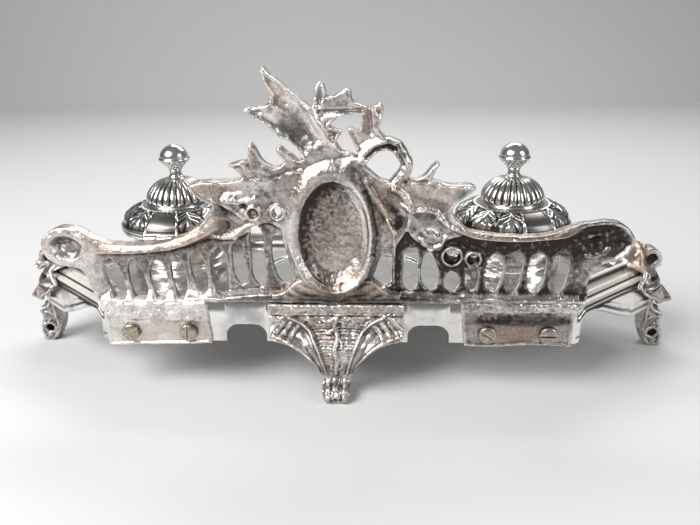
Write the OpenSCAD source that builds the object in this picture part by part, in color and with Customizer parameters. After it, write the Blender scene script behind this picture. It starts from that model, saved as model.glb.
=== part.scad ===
// Desk inkstand: a shaped tray on four scroll legs, an openwork rear gallery with
// an asymmetric rocaille crest, and two ink wells with hinged, domed lids.
// The front of the inkstand faces -Y, the rear gallery stands at +Y, and the
// origin is on the table under the middle of the tray. Lengths are millimetres.

/* [Tray] */
// Length of the straight rear and front edges
tray_edge_l = 224; // [206:1:236]
// Overall length of the tray from end to end
tray_l = 318; // [300:1:340]
// Depth of the tray from front to rear
tray_d = 108; // [100:1:124]
// Length of the short edge at each end
tray_end_l = 22; // [18:1:30]
// Height of the skirt's lower edge above the table
skirt_z = 25; // [22:0.5:28]
// Height of the skirt from its lower edge to the edge moulding
skirt_h = 13; // [10:0.5:15]
// Rise of the stepped border from the edge moulding to the plate
border_rise = 4; // [3:0.5:6]
// Rise of the inner bead above the plate
bead_rise = 4; // [2:0.5:6]
// Width of the stepped border outside the bead
border_w = 10; // [8:0.5:12]
// Width of the bead
bead_w = 3; // [2:0.5:4]
// Thickness of the skirt and of the border
sheet_t = 2; // [1.5:0.1:3]
// Thickness of the plate
plate_t = 2.5; // [2:0.1:3.5]
// Depth of the sunk field between the wells
field_depth = 1.2; // [0.6:0.1:1.4]
// Half length of the sunk field
field_half_l = 42; // [34:1:50]
// Radius of the sunk field's round ends
field_r = 22; // [14:1:26]
// Width of the rounded notch on each side of the front and rear legs
notch_w = 19.5; // [14:0.5:21]
// Height of that notch
notch_h = 9; // [7:0.5:10]
// Length of the level part of the arch in each slanted side's skirt
arch_level = 16; // [12:0.5:20]
// Length of the full-height skirt that is left beside each end
arch_foot = 14; // [11:0.5:18]

/* [Gallery] */
// Length of the gallery over its two volutes
gallery_l = 271; // [262:1:276]
// Height of the rail's lowest point above the gallery's foot
rail_low = 31; // [29:0.5:33]
// Height of the volute's centre above the gallery's foot
volute_z = 28.5; // [27:0.5:30]
// Radius of each volute
volute_r = 10.5; // [9:0.5:11.5]
// Radius of the hollow behind each volute
volute_dish_r = 6; // [4:0.5:7]
// Thickness of the pierced web
web_t = 4; // [3:0.5:5]
// Thickness of the rail, the foot and the volutes
rail_t = 7.5; // [6:0.5:9]
// Height of the rail's band
rail_h = 6; // [5:0.5:7]
// Height of the gallery's foot moulding
foot_h = 4.5; // [3:0.25:5]
// Width of the slots in the wings
slot_w = 7.4; // [5:0.2:7.8]
// Height of the slots' lower centres above the gallery's foot
slot_foot = 7; // [6:0.5:9]
// Distance from the slots' upper centres to the rail's top line
slot_head = 11.5; // [11:0.5:14]
// Distance between the slots in the wings
slot_pitch = 10; // [9.4:0.1:10.4]
// Width of each flange plate that hangs over the rear of the tray
flange_w = 52; // [46:0.5:54]
// Thickness of the flange plates
flange_t = 2.5; // [2:0.1:4]

/* [Crest] */
// Height of the crest above the gallery's foot
crest_h = 107.4; // [100:0.2:114]
// Half width of the oval boss, seen from behind
oval_rx = 16; // [13:0.5:17]
// Half height of the oval boss
oval_rz = 25; // [22:0.5:26]
// Width of the frame round the oval boss
oval_frame_w = 5.5; // [4:0.5:6]
// Thickness of the crest
crest_t = 6; // [4.5:0.5:7]
// Depth of the hollow behind the oval boss
oval_hollow = 4; // [2:0.5:4.5]
// Height that the boss stands out in front
boss_rise = 3; // [2:0.5:5]

/* [Wells] */
// Distance of each well's centre from the tray's end
well_inset = 70; // [62:1:76]
// Distance of the wells in front of the middle of the tray
well_y = 8; // [4:0.5:9]
// Outer radius of the well's mouth
well_r = 25; // [24:0.5:26]
// Height of the well's body above the plate
well_h = 24; // [20:0.5:28]
// Radius of the well's foot
well_foot_r = 26; // [24:0.5:26]
// Thickness of the well's floor
well_floor_t = 4; // [4:0.5:6]
// Outer radius of the glass ink pot
pot_r = 20; // [17:0.5:20]
// Thickness of the ink pot's glass
pot_t = 3; // [2:0.5:4]
// Radius of the ink pot's flange
pot_flange_r = 24; // [23:0.5:24]
// Thickness of the ink pot's flange
pot_flange_t = 1.5; // [1:0.1:2.5]

/* [Lids] */
// Radius of the lid's rim
lid_r = 31; // [30:0.5:33]
// Height of the lid's rim band
lid_band_h = 3.5; // [3:0.25:4.5]
// Height of the sloping canopy above the rim band
canopy_h = 8.75; // [6:0.25:10]
// Radius of the fluted dome's base
dome_r = 16; // [14:0.5:18]
// Height of the fluted dome
dome_h = 12; // [11:0.5:16]
// Thickness of the lid's metal
lid_t = 1.8; // [1.4:0.1:2.2]
// Number of hollow flutes round the dome
flutes = 18; // [12:1:24]
// Radius of the finial's bud
bud_r = 8.3; // [6.5:0.1:9.5]
// Height of the finial above the dome
finial_h = 17.5; // [13:0.5:19]
// Radius of the finial's neck
neck_r = 3.4; // [2.6:0.1:4]

/* [Hinges] */
// Distance of the hinge pin behind the lid's rim
hinge_gap = 2.7; // [2.5:0.1:3.5]
// Radius of the hinge knuckles
knuckle_r = 2.2; // [1.9:0.1:2.3]
// Radius of the hinge pin
pin_r = 1; // [0.8:0.05:1.2]
// Running clearance between the pin and the lid's knuckle
pin_clear = 0.05; // [0.02:0.01:0.1]
// Overall width of the hinge
hinge_w = 17; // [14:0.5:20]
// Width of the lid's middle knuckle
mid_knuckle_w = 6; // [5:0.25:7]
// Side clearance between neighbouring knuckles
knuckle_gap = 0.3; // [0.2:0.05:0.4]

/* [Legs] */
// Width of the bracket at the top of the front and rear legs
bracket_w = 63; // [54:1:66]
// Width of the bracket at the top of the end legs
end_bracket_w = 22; // [16:1:26]
// Thickness of the bracket
bracket_t = 3.5; // [3:0.25:4.5]
// Width of a leg at its ankle
ankle_w = 14; // [10:0.5:18]
// Width of a leg at its toe
toe_w = 11; // [8:0.5:14]
// Reach of the toe outside the skirt
toe_reach = 15; // [12:0.5:15]

/* [End leaves] */
// Half width of the acanthus leaf at each end of the tray
leaf_half_w = 13; // [10:0.5:15]
// Reach of the leaf's tip outside the skirt
leaf_reach = 15; // [12:0.5:16]
// Height of the leaf's roll above the bead
leaf_roll = 12; // [8:0.5:14]
// Distance of the leaf's tip above the skirt's lower edge
leaf_drop = 1.5; // [0.5:0.5:4]

/* [Fasteners] */
// Shank radius of the gallery, leg and well screws
screw_r = 2; // [1.5:0.1:2.3]
// Head radius of the screws
head_r = 4.2; // [3.6:0.1:4.6]
// Head height of the screws
head_h = 2.6; // [2:0.1:3.2]
// Clearance of the screws in their holes
screw_clear = 0.1; // [0.05:0.05:0.2]
// Width of the screwdriver slots
drive_w = 1; // [0.8:0.1:1.4]
// Depth of the screwdriver slots
drive_d = 1.2; // [0.8:0.1:1.6]
// Thickness of the nuts
nut_t = 3; // [2.5:0.1:4]

/* [Hidden] */

$fn = 96;
EPS = 0.01;
SEAT = 0.3;              // gap under a piece that rests beside a stepped surface
SILVER = "#c9c7c2";
CAST = "#a9a29a";
BRASS = "#b08d4c";
STEEL = "#8d8f92";
GLASS = "#b9d3d6";

edge_z = skirt_z + skirt_h;
plate_z = edge_z + border_rise;
bead_z = plate_z + bead_rise;
inner_inset = border_w + bead_w;
rear_y = tray_d / 2;
well_x = tray_l / 2 - well_inset;
phi = atan2((tray_d - tray_end_l) / 2, (tray_l - tray_edge_l) / 2);

// ---------- shared helpers ----------

// Corner points of the eight-sided tray outline, drawn in by a distance d
function tray_ring(d) = let (
    ax = tray_edge_l / 2 - d * tan(phi / 2),
    ay = tray_d / 2 - d,
    bx = tray_l / 2 - d,
    by = tray_end_l / 2 - d * tan((90 - phi) / 2)
) [[ax, ay], [-ax, ay], [-bx, by], [-bx, -by], [-ax, -ay], [ax, -ay], [bx, -by], [bx, by]];

// Points along a cubic curve with its end points and its two handles
function curve(a, b, c, d, n = 14) = [for (i = [0:n]) let (t = i / n, s = 1 - t)
    s * s * s * a + 3 * s * s * t * b + 3 * s * t * t * c + t * t * t * d];

function ellipse(cx, cz, rx, rz, n = 64) =
    [for (i = [0:n - 1]) [cx + rx * cos(360 * i / n), cz + rz * sin(360 * i / n)]];

function mirrored(points) = [for (i = [len(points) - 1:-1:0]) [-points[i][0], points[i][1]]];

// Extrudes an outline that is drawn as seen from behind, from y0 to y1
module from_behind(y0, y1) {
    translate([0, y0, 0]) rotate([90, 0, 180]) linear_extrude(y1 - y0) children();
}

// A straight slot with round ends from point a to point b
module slot_2d(a, b, w) {
    run = b - a;
    translate(a) rotate(atan2(run[1], run[0])) {
        circle(d = w);
        translate([norm(run), 0]) circle(d = w);
        translate([0, -w / 2]) square([norm(run), w]);
    }
}

// A slotted screw along +Z, its head's seat at z = 0 and its shank below
module screw(shank, turn = 0) {
    translate([0, 0, -shank]) cylinder(r = screw_r, h = shank);
    difference() {
        rotate_extrude() polygon(concat([[0, 0], [head_r, 0], [head_r, head_h * 0.55]],
            [for (a = [15:15:90]) [head_r * cos(a), head_h * (0.55 + 0.45 * sin(a))]]));
        rotate([0, 0, turn]) translate([-head_r - 1, -drive_w / 2, head_h - drive_d])
            cube([2 * head_r + 2, drive_w, drive_d + 1]);
    }
}

// ---------- tray ----------

notch_side = bracket_w / 2 + 2;
notch_corner_r = 6;

// Cuts the rounded notches beside a leg into the skirt that faces +Y
module leg_notches() {
    top = skirt_z + notch_h;
    for (s = [-1, 1]) for (e = [notch_corner_r, notch_w - notch_corner_r])
        translate([s * (notch_side + e), rear_y + 1, top - notch_corner_r]) rotate([90, 0, 0])
            cylinder(r = notch_corner_r, h = sheet_t + 3);
    for (s = [-1, 1]) {
        translate([s * (notch_side + notch_w / 2) - notch_w / 2, rear_y - sheet_t - 2, skirt_z - 1])
            cube([notch_w, sheet_t + 3, notch_h + 1 - notch_corner_r]);
        translate([s * (notch_side + notch_w / 2) - notch_w / 2 + notch_corner_r,
                   rear_y - sheet_t - 2, skirt_z - 1])
            cube([notch_w - 2 * notch_corner_r, sheet_t + 3, notch_h + 1]);
    }
}

arch_post = 2.5;          // full-height skirt left beside a front or rear corner
slant_l = norm([(tray_l - tray_edge_l) / 2, (tray_d - tray_end_l) / 2]);

// Cuts the arch into the slanted skirt between the rear edge and the +X end: level under the
// edge moulding beside the corner, and falling to the skirt's lower edge near the end
module side_arch() {
    top = edge_z - sheet_t;
    run = slant_l - arch_foot - arch_level;
    fall = [slant_l - arch_foot, skirt_z];
    translate([tray_edge_l / 2, rear_y, 0]) rotate([0, 0, -phi]) translate([0, 1, 0])
        rotate([90, 0, 0]) linear_extrude(sheet_t + 3) polygon(concat(
            [[fall[0], skirt_z - 1], [arch_post, skirt_z - 1], [arch_post, top]],
            curve([arch_level, top], [arch_level + run * 0.3, top],
                  [fall[0] - run * 0.35, skirt_z + 5], fall, 8)));
}

module slab(inset, z0, z1) {
    translate([0, 0, z0]) linear_extrude(z1 - z0) polygon(tray_ring(inset));
}

leg_screw_z = skirt_z + 6;
leg_screw_x = bracket_w / 2 - 2 * head_r;
flange_out = tray_edge_l / 2 - 1.5;
flange_in = flange_out - flange_w;
flange_z = skirt_z - 0.5;
screw_inset = 12;         // from a flange plate's end to its screw
gallery_screw_x = [flange_in + screw_inset, flange_out - screw_inset];
gallery_screw_z = skirt_z + 6;

module screw_hole(depth) {
    translate([0, 0, -depth / 2]) cylinder(r = screw_r + screw_clear, h = depth);
}

module tray() {
    step = border_w / 3;
    color(SILVER) difference() {
        union() {
            slab(0, skirt_z, edge_z);
            slab(0.3 * step, edge_z - EPS, edge_z + border_rise * 0.25);
            slab(step, edge_z - EPS, edge_z + border_rise * 0.5);
            slab(2 * step, edge_z - EPS, edge_z + border_rise * 0.75);
            slab(border_w, edge_z - EPS, bead_z);
            translate([-tray_edge_l / 2, rear_y - inner_inset, edge_z - sheet_t])
                cube([tray_edge_l, inner_inset, bead_z - edge_z + sheet_t]);
        }
        difference() {
            slab(inner_inset, plate_z, bead_z + 1);
            translate([-tray_edge_l / 2, rear_y - inner_inset, plate_z - 1])
                cube([tray_edge_l, inner_inset, bead_rise + 3]);
        }
        slab(sheet_t, skirt_z - 1, edge_z - sheet_t);
        slab(border_w + bead_w / 2, skirt_z - 1, plate_z - plate_t);
        leg_notches();
        rotate([0, 0, 180]) leg_notches();
        for (x = [0, 1], y = [0, 1]) mirror([x, 0, 0]) mirror([0, y, 0]) side_arch();
        translate([0, -field_y, plate_z - field_depth]) linear_extrude(field_depth + 1)
            slot_2d([-field_half_l + field_r, 0], [field_half_l - field_r, 0], 2 * field_r);
        for (s = [-1, 1], x = gallery_screw_x)
            translate([s * x, rear_y, gallery_screw_z]) rotate([90, 0, 0]) screw_hole(3 * sheet_t);
        for (s = [-1, 1]) {
            translate([s * well_x, -well_y, plate_z]) screw_hole(3 * plate_t);
            translate([s * tray_l / 2, 0, leg_screw_z]) rotate([0, 90, 0]) screw_hole(3 * sheet_t);
            for (t = [-1, 1]) translate([s * leg_screw_x, t * rear_y, leg_screw_z])
                rotate([90, 0, 0]) screw_hole(3 * sheet_t);
        }
    }
}

// Middle of the sunk field, in front of the tray's centre
field_y = inner_inset / 4;

// ---------- rear gallery, drawn from behind with its foot at v = 0 ----------

half_l = gallery_l / 2 - volute_r;

// Top line of one wing, from the volute to the side of the crest
wing_top = concat(
    curve([half_l, volute_z + volute_r], [half_l - 12, volute_z + volute_r],
          [half_l - 21, rail_low], [half_l - 34, rail_low]),
    curve([half_l - 36, rail_low], [half_l - 50, rail_low], [60, rail_low + 4], [56, rail_low + 17]));

wing_end = [[half_l - 4, volute_z - volute_r + 1], [half_l - 11, 13], [flange_out + 1.5, 5],
            [flange_out, 0]];

module wing_2d(s) {
    points = concat(wing_top, [[40, rail_low + 18], [0, rail_low + 14], [0, 0]],
                    [for (i = [len(wing_end) - 1:-1:0]) wing_end[i]]);
    mirror([s > 0 ? 0 : 1, 0]) {
        polygon(points);
        translate([half_l, volute_z]) circle(r = volute_r);
    }
}

// Slots beside the crest, given as [foot point, top point, width]
side_slots = [
    [[-64, 7], [-65, 20], 7.4], [[-54, 6.5], [-55, 23], 7.2], [[-43.5, 9], [-45, 27], 7],
    [[-35.5, 8.5], [-37, 32], 6.4], [[-22.4, 9.8], [-25, 28.6], 6.9],
    [[63, 6.5], [64, 14], 6.4], [[53, 6.5], [53.5, 9.5], 7.2], [[43.5, 7], [44, 20], 7],
    [[34.5, 8], [34.8, 19], 6.6], [[20.5, 10], [23.5, 17], 7]];

// Round hollows and eyes beside the crest, given as [centre, radius]
side_eyes = [[[53.4, 22], 2.4], [[63.2, 21.8], 1.6], [[44.5, 33.5], 2.8]];
crest_eye = [-25, 43];
crest_eye_r = 2.3;

module gallery_slots_2d() {
    for (s = [-1, 1], k = [0:3]) {
        foot = 73 + k * slot_pitch - k * 0.6;
        slot_2d([s * foot, slot_foot], [s * (foot + 0.8 + 0.9 * k), rail_low - slot_head], slot_w);
    }
    for (slot = side_slots) slot_2d(slot[0], slot[1], slot[2]);
    for (eye = side_eyes) translate(eye[0]) circle(r = eye[1], $fn = 32);
}

gallery_y0 = rear_y - web_t - 1;
gallery_y1 = gallery_y0 + rail_t;

module rail_2d(s) {
    points = concat(wing_top, [for (i = [len(wing_top) - 1:-1:0]) wing_top[i] - [0, rail_h]]);
    mirror([s > 0 ? 0 : 1, 0]) difference() {
        polygon(points);
        translate([half_l, volute_z]) circle(r = volute_r - 1);
    }
}

module gallery() {
    color(CAST) difference() {
        union() {
            translate([0, 0, bead_z]) {
                from_behind(gallery_y0, gallery_y0 + web_t) difference() {
                    union() { wing_2d(-1); wing_2d(1); }
                    crest_outline_2d();
                    gallery_slots_2d();
                }
                from_behind(gallery_y0, gallery_y1) difference() {
                    union() { rail_2d(-1); rail_2d(1); }
                    crest_outline_2d();
                }
                for (s = [-1, 1]) from_behind(gallery_y0 - 1, gallery_y1 + 1) difference() {
                    translate([s * half_l, volute_z]) circle(r = volute_r);
                    translate([s * half_l, volute_z]) circle(r = volute_dish_r);
                }
                for (s = [-1, 1]) from_behind(gallery_y0, gallery_y1 - 3)
                    translate([s * half_l, volute_z]) circle(r = volute_dish_r + 0.5);
                translate([-flange_out, gallery_y0, 0]) cube([2 * flange_out, rail_t, foot_h]);
            }
            for (s = [-1, 1]) translate([s > 0 ? flange_in : -flange_out, rear_y, flange_z])
                cube([flange_w, flange_t, bead_z - flange_z + 1]);
        }
        for (s = [-1, 1], x = gallery_screw_x)
            translate([s * x, rear_y, gallery_screw_z]) rotate([90, 0, 0]) screw_hole(4 * flange_t);
    }
}

// ---------- crest, drawn from behind with the gallery's foot at v = 0 ----------

oval_u = -0.6;
oval_v = 33;

big_leaf = [[-12.5, 64], [-16.5, 72.5], [-23, 76.5], [-30, 81], [-36, 86], [-38.5, 89.5],
            [-30, 90.5], [-26, 93], [-25.5, 97], [-27, 100], [-29.5, 103.5], [-29.6, 107.4],
            [-27, 107.2], [-22, 102.5], [-15.5, 96.3], [-9, 90], [-2, 82], [3, 71.5], [2, 64]];
upright_leaf = [[-9.5, 86], [-8.4, 93], [-6.7, 98], [-4.6, 100.8], [-2.8, 98.4], [-1.8, 94.5],
                [-3, 86]];
right_leaf = [[-6, 86], [-2.5, 93.5], [3, 95], [7, 97], [8.6, 95.5], [8.9, 92.4], [13.5, 91],
              [17, 89.2], [12.8, 87.4], [4.5, 86.2], [-1, 81.3], [-6, 79]];
thorn_leaf = [[-2, 82], [5, 79.8], [1.8, 74.2], [-4, 72]];
sprig_leaf = [[6.2, 81], [12, 79.6], [12, 83], [12.6, 87.6], [17.3, 89.2], [21, 91.2], [22.2, 88.5],
              [21.2, 84], [19.7, 79.5], [22.7, 77], [21.5, 74], [13.5, 69.5], [11.5, 74], [8.5, 77.8]];
scroll_out = [[10, 64], [13, 70.5], [18.3, 73.3], [22, 75.5], [27.6, 74.8], [29.8, 72.3], [30.6, 69],
              [34.4, 65.6], [34, 62], [32, 58], [20, 56]];
scroll_eye = [[14.7, 65], [18.9, 67.6], [22, 70.5], [26.2, 69.4], [27.6, 65.6], [24.3, 60.6],
              [23.2, 58.2], [20.2, 59.9], [16.6, 61.9]];
left_sprig = [[-41, 57], [-46, 65], [-38.3, 66.2], [-37.4, 68], [-36.3, 74.5], [-31.5, 70],
              [-28.8, 65], [-24, 64.8], [-21.4, 66.8], [-24, 72.3], [-22.4, 73.2], [-13, 66.5],
              [-12, 60]];
right_spray = [[32, 56], [34, 58.8], [38, 59], [45.2, 65.8], [46.7, 64.6], [42, 58.2], [52, 55.2],
               [62, 55.3], [63, 54.2], [58, 50.3], [53.8, 46.5], [50, 42]];
crest_body = [[-24, 36], [-31.5, 40], [-33, 46.5], [-42, 48.5], [-57, 48], [-64, 56.6], [-47.5, 57],
              [-38.7, 58.5], [-28.8, 65], [-13, 68], [3.4, 71.5], [10, 70], [16.6, 62], [23.2, 58],
              [33, 58.5], [44, 57], [52, 55.2], [58, 50.3], [53.8, 46.5], [44, 45], [36, 40],
              [33, 34], [24, 36]];

// The leaves are drawn for a crest whose highest tip is at this height
drawn_h = 107.4;

function stretched(points) = [for (p = points) [p[0], p[1] * crest_h / drawn_h]];

module crest_outline_2d() {
    difference() {
        union() {
            for (leaf = [crest_body, big_leaf, upright_leaf, right_leaf, thorn_leaf, sprig_leaf,
                         scroll_out, left_sprig, right_spray])
                polygon(stretched(leaf));
            polygon(ellipse(oval_u, oval_v, oval_rx + oval_frame_w, oval_rz + oval_frame_w - 1));
        }
        polygon(stretched(scroll_eye));
        translate([-100, -10]) square([200, 10 + foot_h]);
    }
}

crest_y0 = gallery_y0 - 1;

module crest() {
    color(CAST) translate([0, 0, bead_z]) difference() {
        union() {
            from_behind(crest_y0, crest_y0 + crest_t) difference() {
                crest_outline_2d();
                translate(crest_eye) circle(r = crest_eye_r, $fn = 32);
            }
            for (k = [0:2]) from_behind(crest_y0 - boss_rise * (k + 1) / 3, crest_y0 + 1)
                polygon(ellipse(oval_u, oval_v, oval_rx - 2.5 * k, oval_rz - 2.5 * k));
        }
        for (k = [0:2]) from_behind(crest_y0 + crest_t - oval_hollow * (k + 1) / 3,
                                    crest_y0 + crest_t + 1)
            polygon(ellipse(oval_u, oval_v, oval_rx - 2 * k, oval_rz - 2 * k));
    }
}

// ---------- fasteners ----------

// Turn of each gallery screw's slot, from the left of the rear view to its right
screw_turns = [143, 90, 35, 0];

module gallery_screws() {
    places = [-gallery_screw_x[1], -gallery_screw_x[0], gallery_screw_x[0], gallery_screw_x[1]];
    color(STEEL) for (i = [0:3])
        translate([-places[i], rear_y + flange_t, gallery_screw_z]) rotate([-90, 0, 0])
            screw(flange_t + sheet_t + nut_t, -screw_turns[i]);
}

module gallery_nuts() {
    color(BRASS) for (s = [-1, 1], x = gallery_screw_x)
        translate([s * x, rear_y - sheet_t, gallery_screw_z]) rotate([90, 0, 0]) difference() {
            cylinder(r = head_r, h = nut_t, $fn = 6);
            translate([0, 0, -1]) cylinder(r = screw_r + screw_clear, h = nut_t + 2);
        }
}

leg_tap = bracket_t - 0.7;

module leg_screws() {
    color(STEEL) {
        for (t = [0, 180], x = [-leg_screw_x, leg_screw_x]) rotate([0, 0, t])
            translate([x, rear_y - sheet_t, leg_screw_z]) rotate([90, 0, 0])
                screw(sheet_t + leg_tap);
        for (t = [-90, 90]) rotate([0, 0, t])
            translate([0, tray_l / 2 - sheet_t, leg_screw_z]) rotate([90, 0, 0])
                screw(sheet_t + leg_tap);
    }
}

well_tap = well_floor_t - 1;

module well_screws() {
    color(STEEL) for (s = [-1, 1])
        translate([s * well_x, -well_y, plate_z - plate_t]) rotate([180, 0, 0])
            screw(plate_t + well_tap);
}

// ---------- legs, each drawn against a skirt that faces +Y ----------

leg_top = bead_z - SEAT;

// Side profile of a leg: reach outside the skirt against height
leg_side = concat(
    [[0, leg_top], [bracket_t, leg_top], [bracket_t, skirt_z + 9]],
    curve([bracket_t, skirt_z + 8], [bracket_t, skirt_z + 4], [9.5, skirt_z + 5], [9.5, skirt_z - 3], 6),
    curve([9.5, skirt_z - 4], [9, 16], [6.5, 15], [7.5, 9.5], 6),
    curve([8, 8.5], [10, 6], [toe_reach - 1, 9.5], [toe_reach + 1, 3.5], 6),
    [[toe_reach + 0.2, 1], [toe_reach - 1, 0], [9, 0]],
    curve([8, 1], [5, 5], [3, 9], [2.5, 13], 5),
    curve([2.4, 15], [3, 18], [2.5, 22], [0, skirt_z - 1], 5));

// Half outline of a leg from behind, from the bracket's top corner to the toe
function leg_half(top_w) = concat(
    [[top_w / 2, leg_top], [top_w / 2, skirt_z + 4.5]],
    curve([top_w / 2 - 1, skirt_z + 3.5], [top_w / 4 + ankle_w / 4, skirt_z + 2],
          [ankle_w * 0.8, skirt_z - 2], [ankle_w * 0.55, 12], 8),
    curve([ankle_w / 2, 10], [ankle_w / 2 - 1.2, 7], [toe_w / 2 + 1, 6], [toe_w / 2, 0], 5));

module leg(top_w) {
    half = leg_half(top_w);
    difference() {
        intersection() {
            translate([0, rear_y - 5, 0]) rotate([90, 0, 180]) linear_extrude(toe_reach + 12)
                polygon(concat(half, mirrored(half)));
            translate([-top_w / 2 - 1, rear_y, 0]) rotate([90, 0, 90]) linear_extrude(top_w + 2)
                polygon(leg_side);
        }
        screws = top_w > 2 * end_bracket_w ? [-leg_screw_x, leg_screw_x] : [0];
        for (x = screws) translate([x, rear_y - 1, leg_screw_z]) rotate([-90, 0, 0])
            cylinder(r = screw_r + screw_clear, h = leg_tap + 1.3);
    }
}

end_shift = tray_l / 2 - rear_y;

module rear_leg() { color(CAST) leg(bracket_w); }
module front_leg() { color(CAST) rotate([0, 0, 180]) leg(bracket_w); }
module end_leg(turn) {
    color(CAST) rotate([0, 0, turn]) intersection() {
        translate([0, end_shift, 0]) leg(end_bracket_w);
        translate([-end_bracket_w, tray_l / 2 - 5, -1])
            cube([2 * end_bracket_w, 60, edge_z - 4 - SEAT + 1]);
    }
}
module left_leg() { end_leg(90); }
module right_leg() { end_leg(-90); }

// ---------- acanthus leaves over the ends of the tray ----------

leaf_tip_z = skirt_z + leaf_drop;
leaf_top_z = bead_z + leaf_roll;

leaf_side = concat(
    [[-inner_inset, bead_z], [-border_w, bead_z], [SEAT, edge_z + 2.5], [SEAT, edge_z - 4],
     [4, edge_z - 4]],
    curve([6, edge_z - 5], [9, edge_z - 7], [11, leaf_tip_z + 2], [leaf_reach - 2, leaf_tip_z], 5),
    curve([leaf_reach, leaf_tip_z], [leaf_reach - 3, leaf_tip_z + 8], [8, edge_z + 2],
          [8, bead_z + 1], 7),
    curve([7.8, bead_z + 3], [7, leaf_top_z], [-6, leaf_top_z + 2], [-11, leaf_top_z - 4], 8),
    [[-inner_inset, bead_z + 4]]);

leaf_front = concat(
    curve([0, leaf_tip_z - 1], [3, leaf_tip_z + 1], [6, leaf_tip_z + 5], [8, edge_z - 5], 5),
    curve([leaf_half_w - 3, edge_z - 3], [leaf_half_w - 1, edge_z], [leaf_half_w - 2, bead_z - 2],
          [leaf_half_w, bead_z], 5),
    curve([leaf_half_w, bead_z + 2], [leaf_half_w, leaf_top_z - 3], [6, leaf_top_z + 1],
          [0, leaf_top_z + 1], 8));

module end_leaf(turn) {
    color(CAST) rotate([0, 0, turn]) translate([0, end_shift, 0]) intersection() {
        translate([-leaf_half_w - 1, rear_y, 0]) rotate([90, 0, 90])
            linear_extrude(2 * leaf_half_w + 2) polygon(leaf_side);
        translate([0, rear_y - 20, 0]) rotate([90, 0, 180]) linear_extrude(40)
            polygon(concat(leaf_front, mirrored(leaf_front)));
    }
}
module left_end_leaf() { end_leaf(90); }
module right_end_leaf() { end_leaf(-90); }

// ---------- wells and ink pots ----------

well_top = plate_z + well_h;
pot_clear = 0.3;

module at_well(s) { translate([s * well_x, -well_y, 0]) children(); }

hinge_y = lid_r + hinge_gap;
lid_z = well_top + pot_flange_t;
hinge_z = lid_z - 0.4;
lug_w = hinge_w - 1;
knuckle_room = 0.4;       // round the lid's middle knuckle

module well_profile() {
    bore = pot_r + pot_clear;
    z0 = plate_z;
    polygon(concat(
        [[0, z0], [well_foot_r, z0], [well_foot_r, z0 + 1.5]],
        curve([well_foot_r - 0.6, z0 + 2.2], [bore + 2.5, z0 + 2.4], [bore + 2, z0 + 3.5],
              [bore + 2.2, z0 + 5], 6),
        curve([bore + 2.6, z0 + 6], [well_r + 1, z0 + 8], [well_r + 1, z0 + well_h - 9],
              [well_r - 0.5, z0 + well_h - 4], 8),
        [[well_r + 0.8, z0 + well_h - 2.6], [well_r + 0.8, z0 + well_h - 1], [well_r, z0 + well_h],
         [bore, z0 + well_h], [bore, z0 + well_floor_t], [0, z0 + well_floor_t]]));
}

module well(s) {
    lug_z0 = hinge_z - knuckle_r - 1;
    color(SILVER) at_well(s) difference() {
        union() {
            rotate_extrude() well_profile();
            difference() {
                translate([-lug_w / 2, 0, lug_z0]) cube([lug_w, hinge_y, lid_z - SEAT - 0.8 - lug_z0]);
                translate([0, 0, lug_z0 - 1]) cylinder(r = pot_r + pot_clear + 1, h = 20);
            }
            for (e = [-1, 1]) translate([e > 0 ? mid_knuckle_w / 2 + knuckle_gap : -hinge_w / 2,
                                         hinge_y, hinge_z])
                rotate([0, 90, 0])
                    cylinder(r = knuckle_r, h = (hinge_w - mid_knuckle_w) / 2 - knuckle_gap, $fn = 48);
        }
        translate([-mid_knuckle_w / 2 - knuckle_gap, hinge_y, hinge_z]) rotate([0, 90, 0])
            cylinder(r = knuckle_r + knuckle_room, h = mid_knuckle_w + 2 * knuckle_gap, $fn = 48);
        translate([-hinge_w / 2 - 1, hinge_y, hinge_z]) rotate([0, 90, 0])
            cylinder(r = pin_r, h = hinge_w + 2, $fn = 32);
        translate([0, 0, well_top]) cylinder(r = pot_flange_r + pot_clear, h = 10);
        translate([0, 0, plate_z - 1]) cylinder(r = screw_r + screw_clear, h = well_tap + 1.3);
    }
}
module left_well() { well(-1); }
module right_well() { well(1); }

module ink_pot(s) {
    base = plate_z + well_floor_t + SEAT;
    mouth = pot_r - pot_t;
    color(GLASS, 0.6) at_well(s) rotate_extrude() polygon([
        [0, base], [pot_r - 1, base], [pot_r, base + 1], [pot_r, well_top], [pot_flange_r, well_top],
        [pot_flange_r, lid_z], [mouth, lid_z], [mouth, base + pot_t + 2], [mouth - 2, base + pot_t],
        [0, base + pot_t]]);
}
module left_ink_pot() { ink_pot(-1); }
module right_ink_pot() { ink_pot(1); }

// ---------- lids ----------

band_top = lid_z + lid_band_h;
canopy_top = band_top + canopy_h;
dome_base_z = canopy_top - 0.6;
dome_top = dome_base_z + dome_h;
stud_r = 1.4;

lid_outside = concat(
    [[lid_r, lid_z], [lid_r, band_top - 0.5], [lid_r - 0.6, band_top]],
    curve([lid_r - 1.5, band_top + 0.6], [lid_r - 4, band_top + 3], [dome_r + 6, canopy_top - 2.4],
          [dome_r + 2.6, canopy_top], 6),
    [[dome_r + 1.6, canopy_top], [dome_r + 1.2, dome_base_z], [dome_r, dome_base_z],
     [dome_r, dome_base_z + 2.5]],
    curve([dome_r - 0.4, dome_base_z + 3], [dome_r - 1, dome_base_z + 9],
          [dome_r * 0.5, dome_top - 2.5], [neck_r + 1, dome_top - 0.6], 8),
    [[neck_r + 1, dome_top], [stud_r + screw_clear, dome_top]]);

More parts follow.
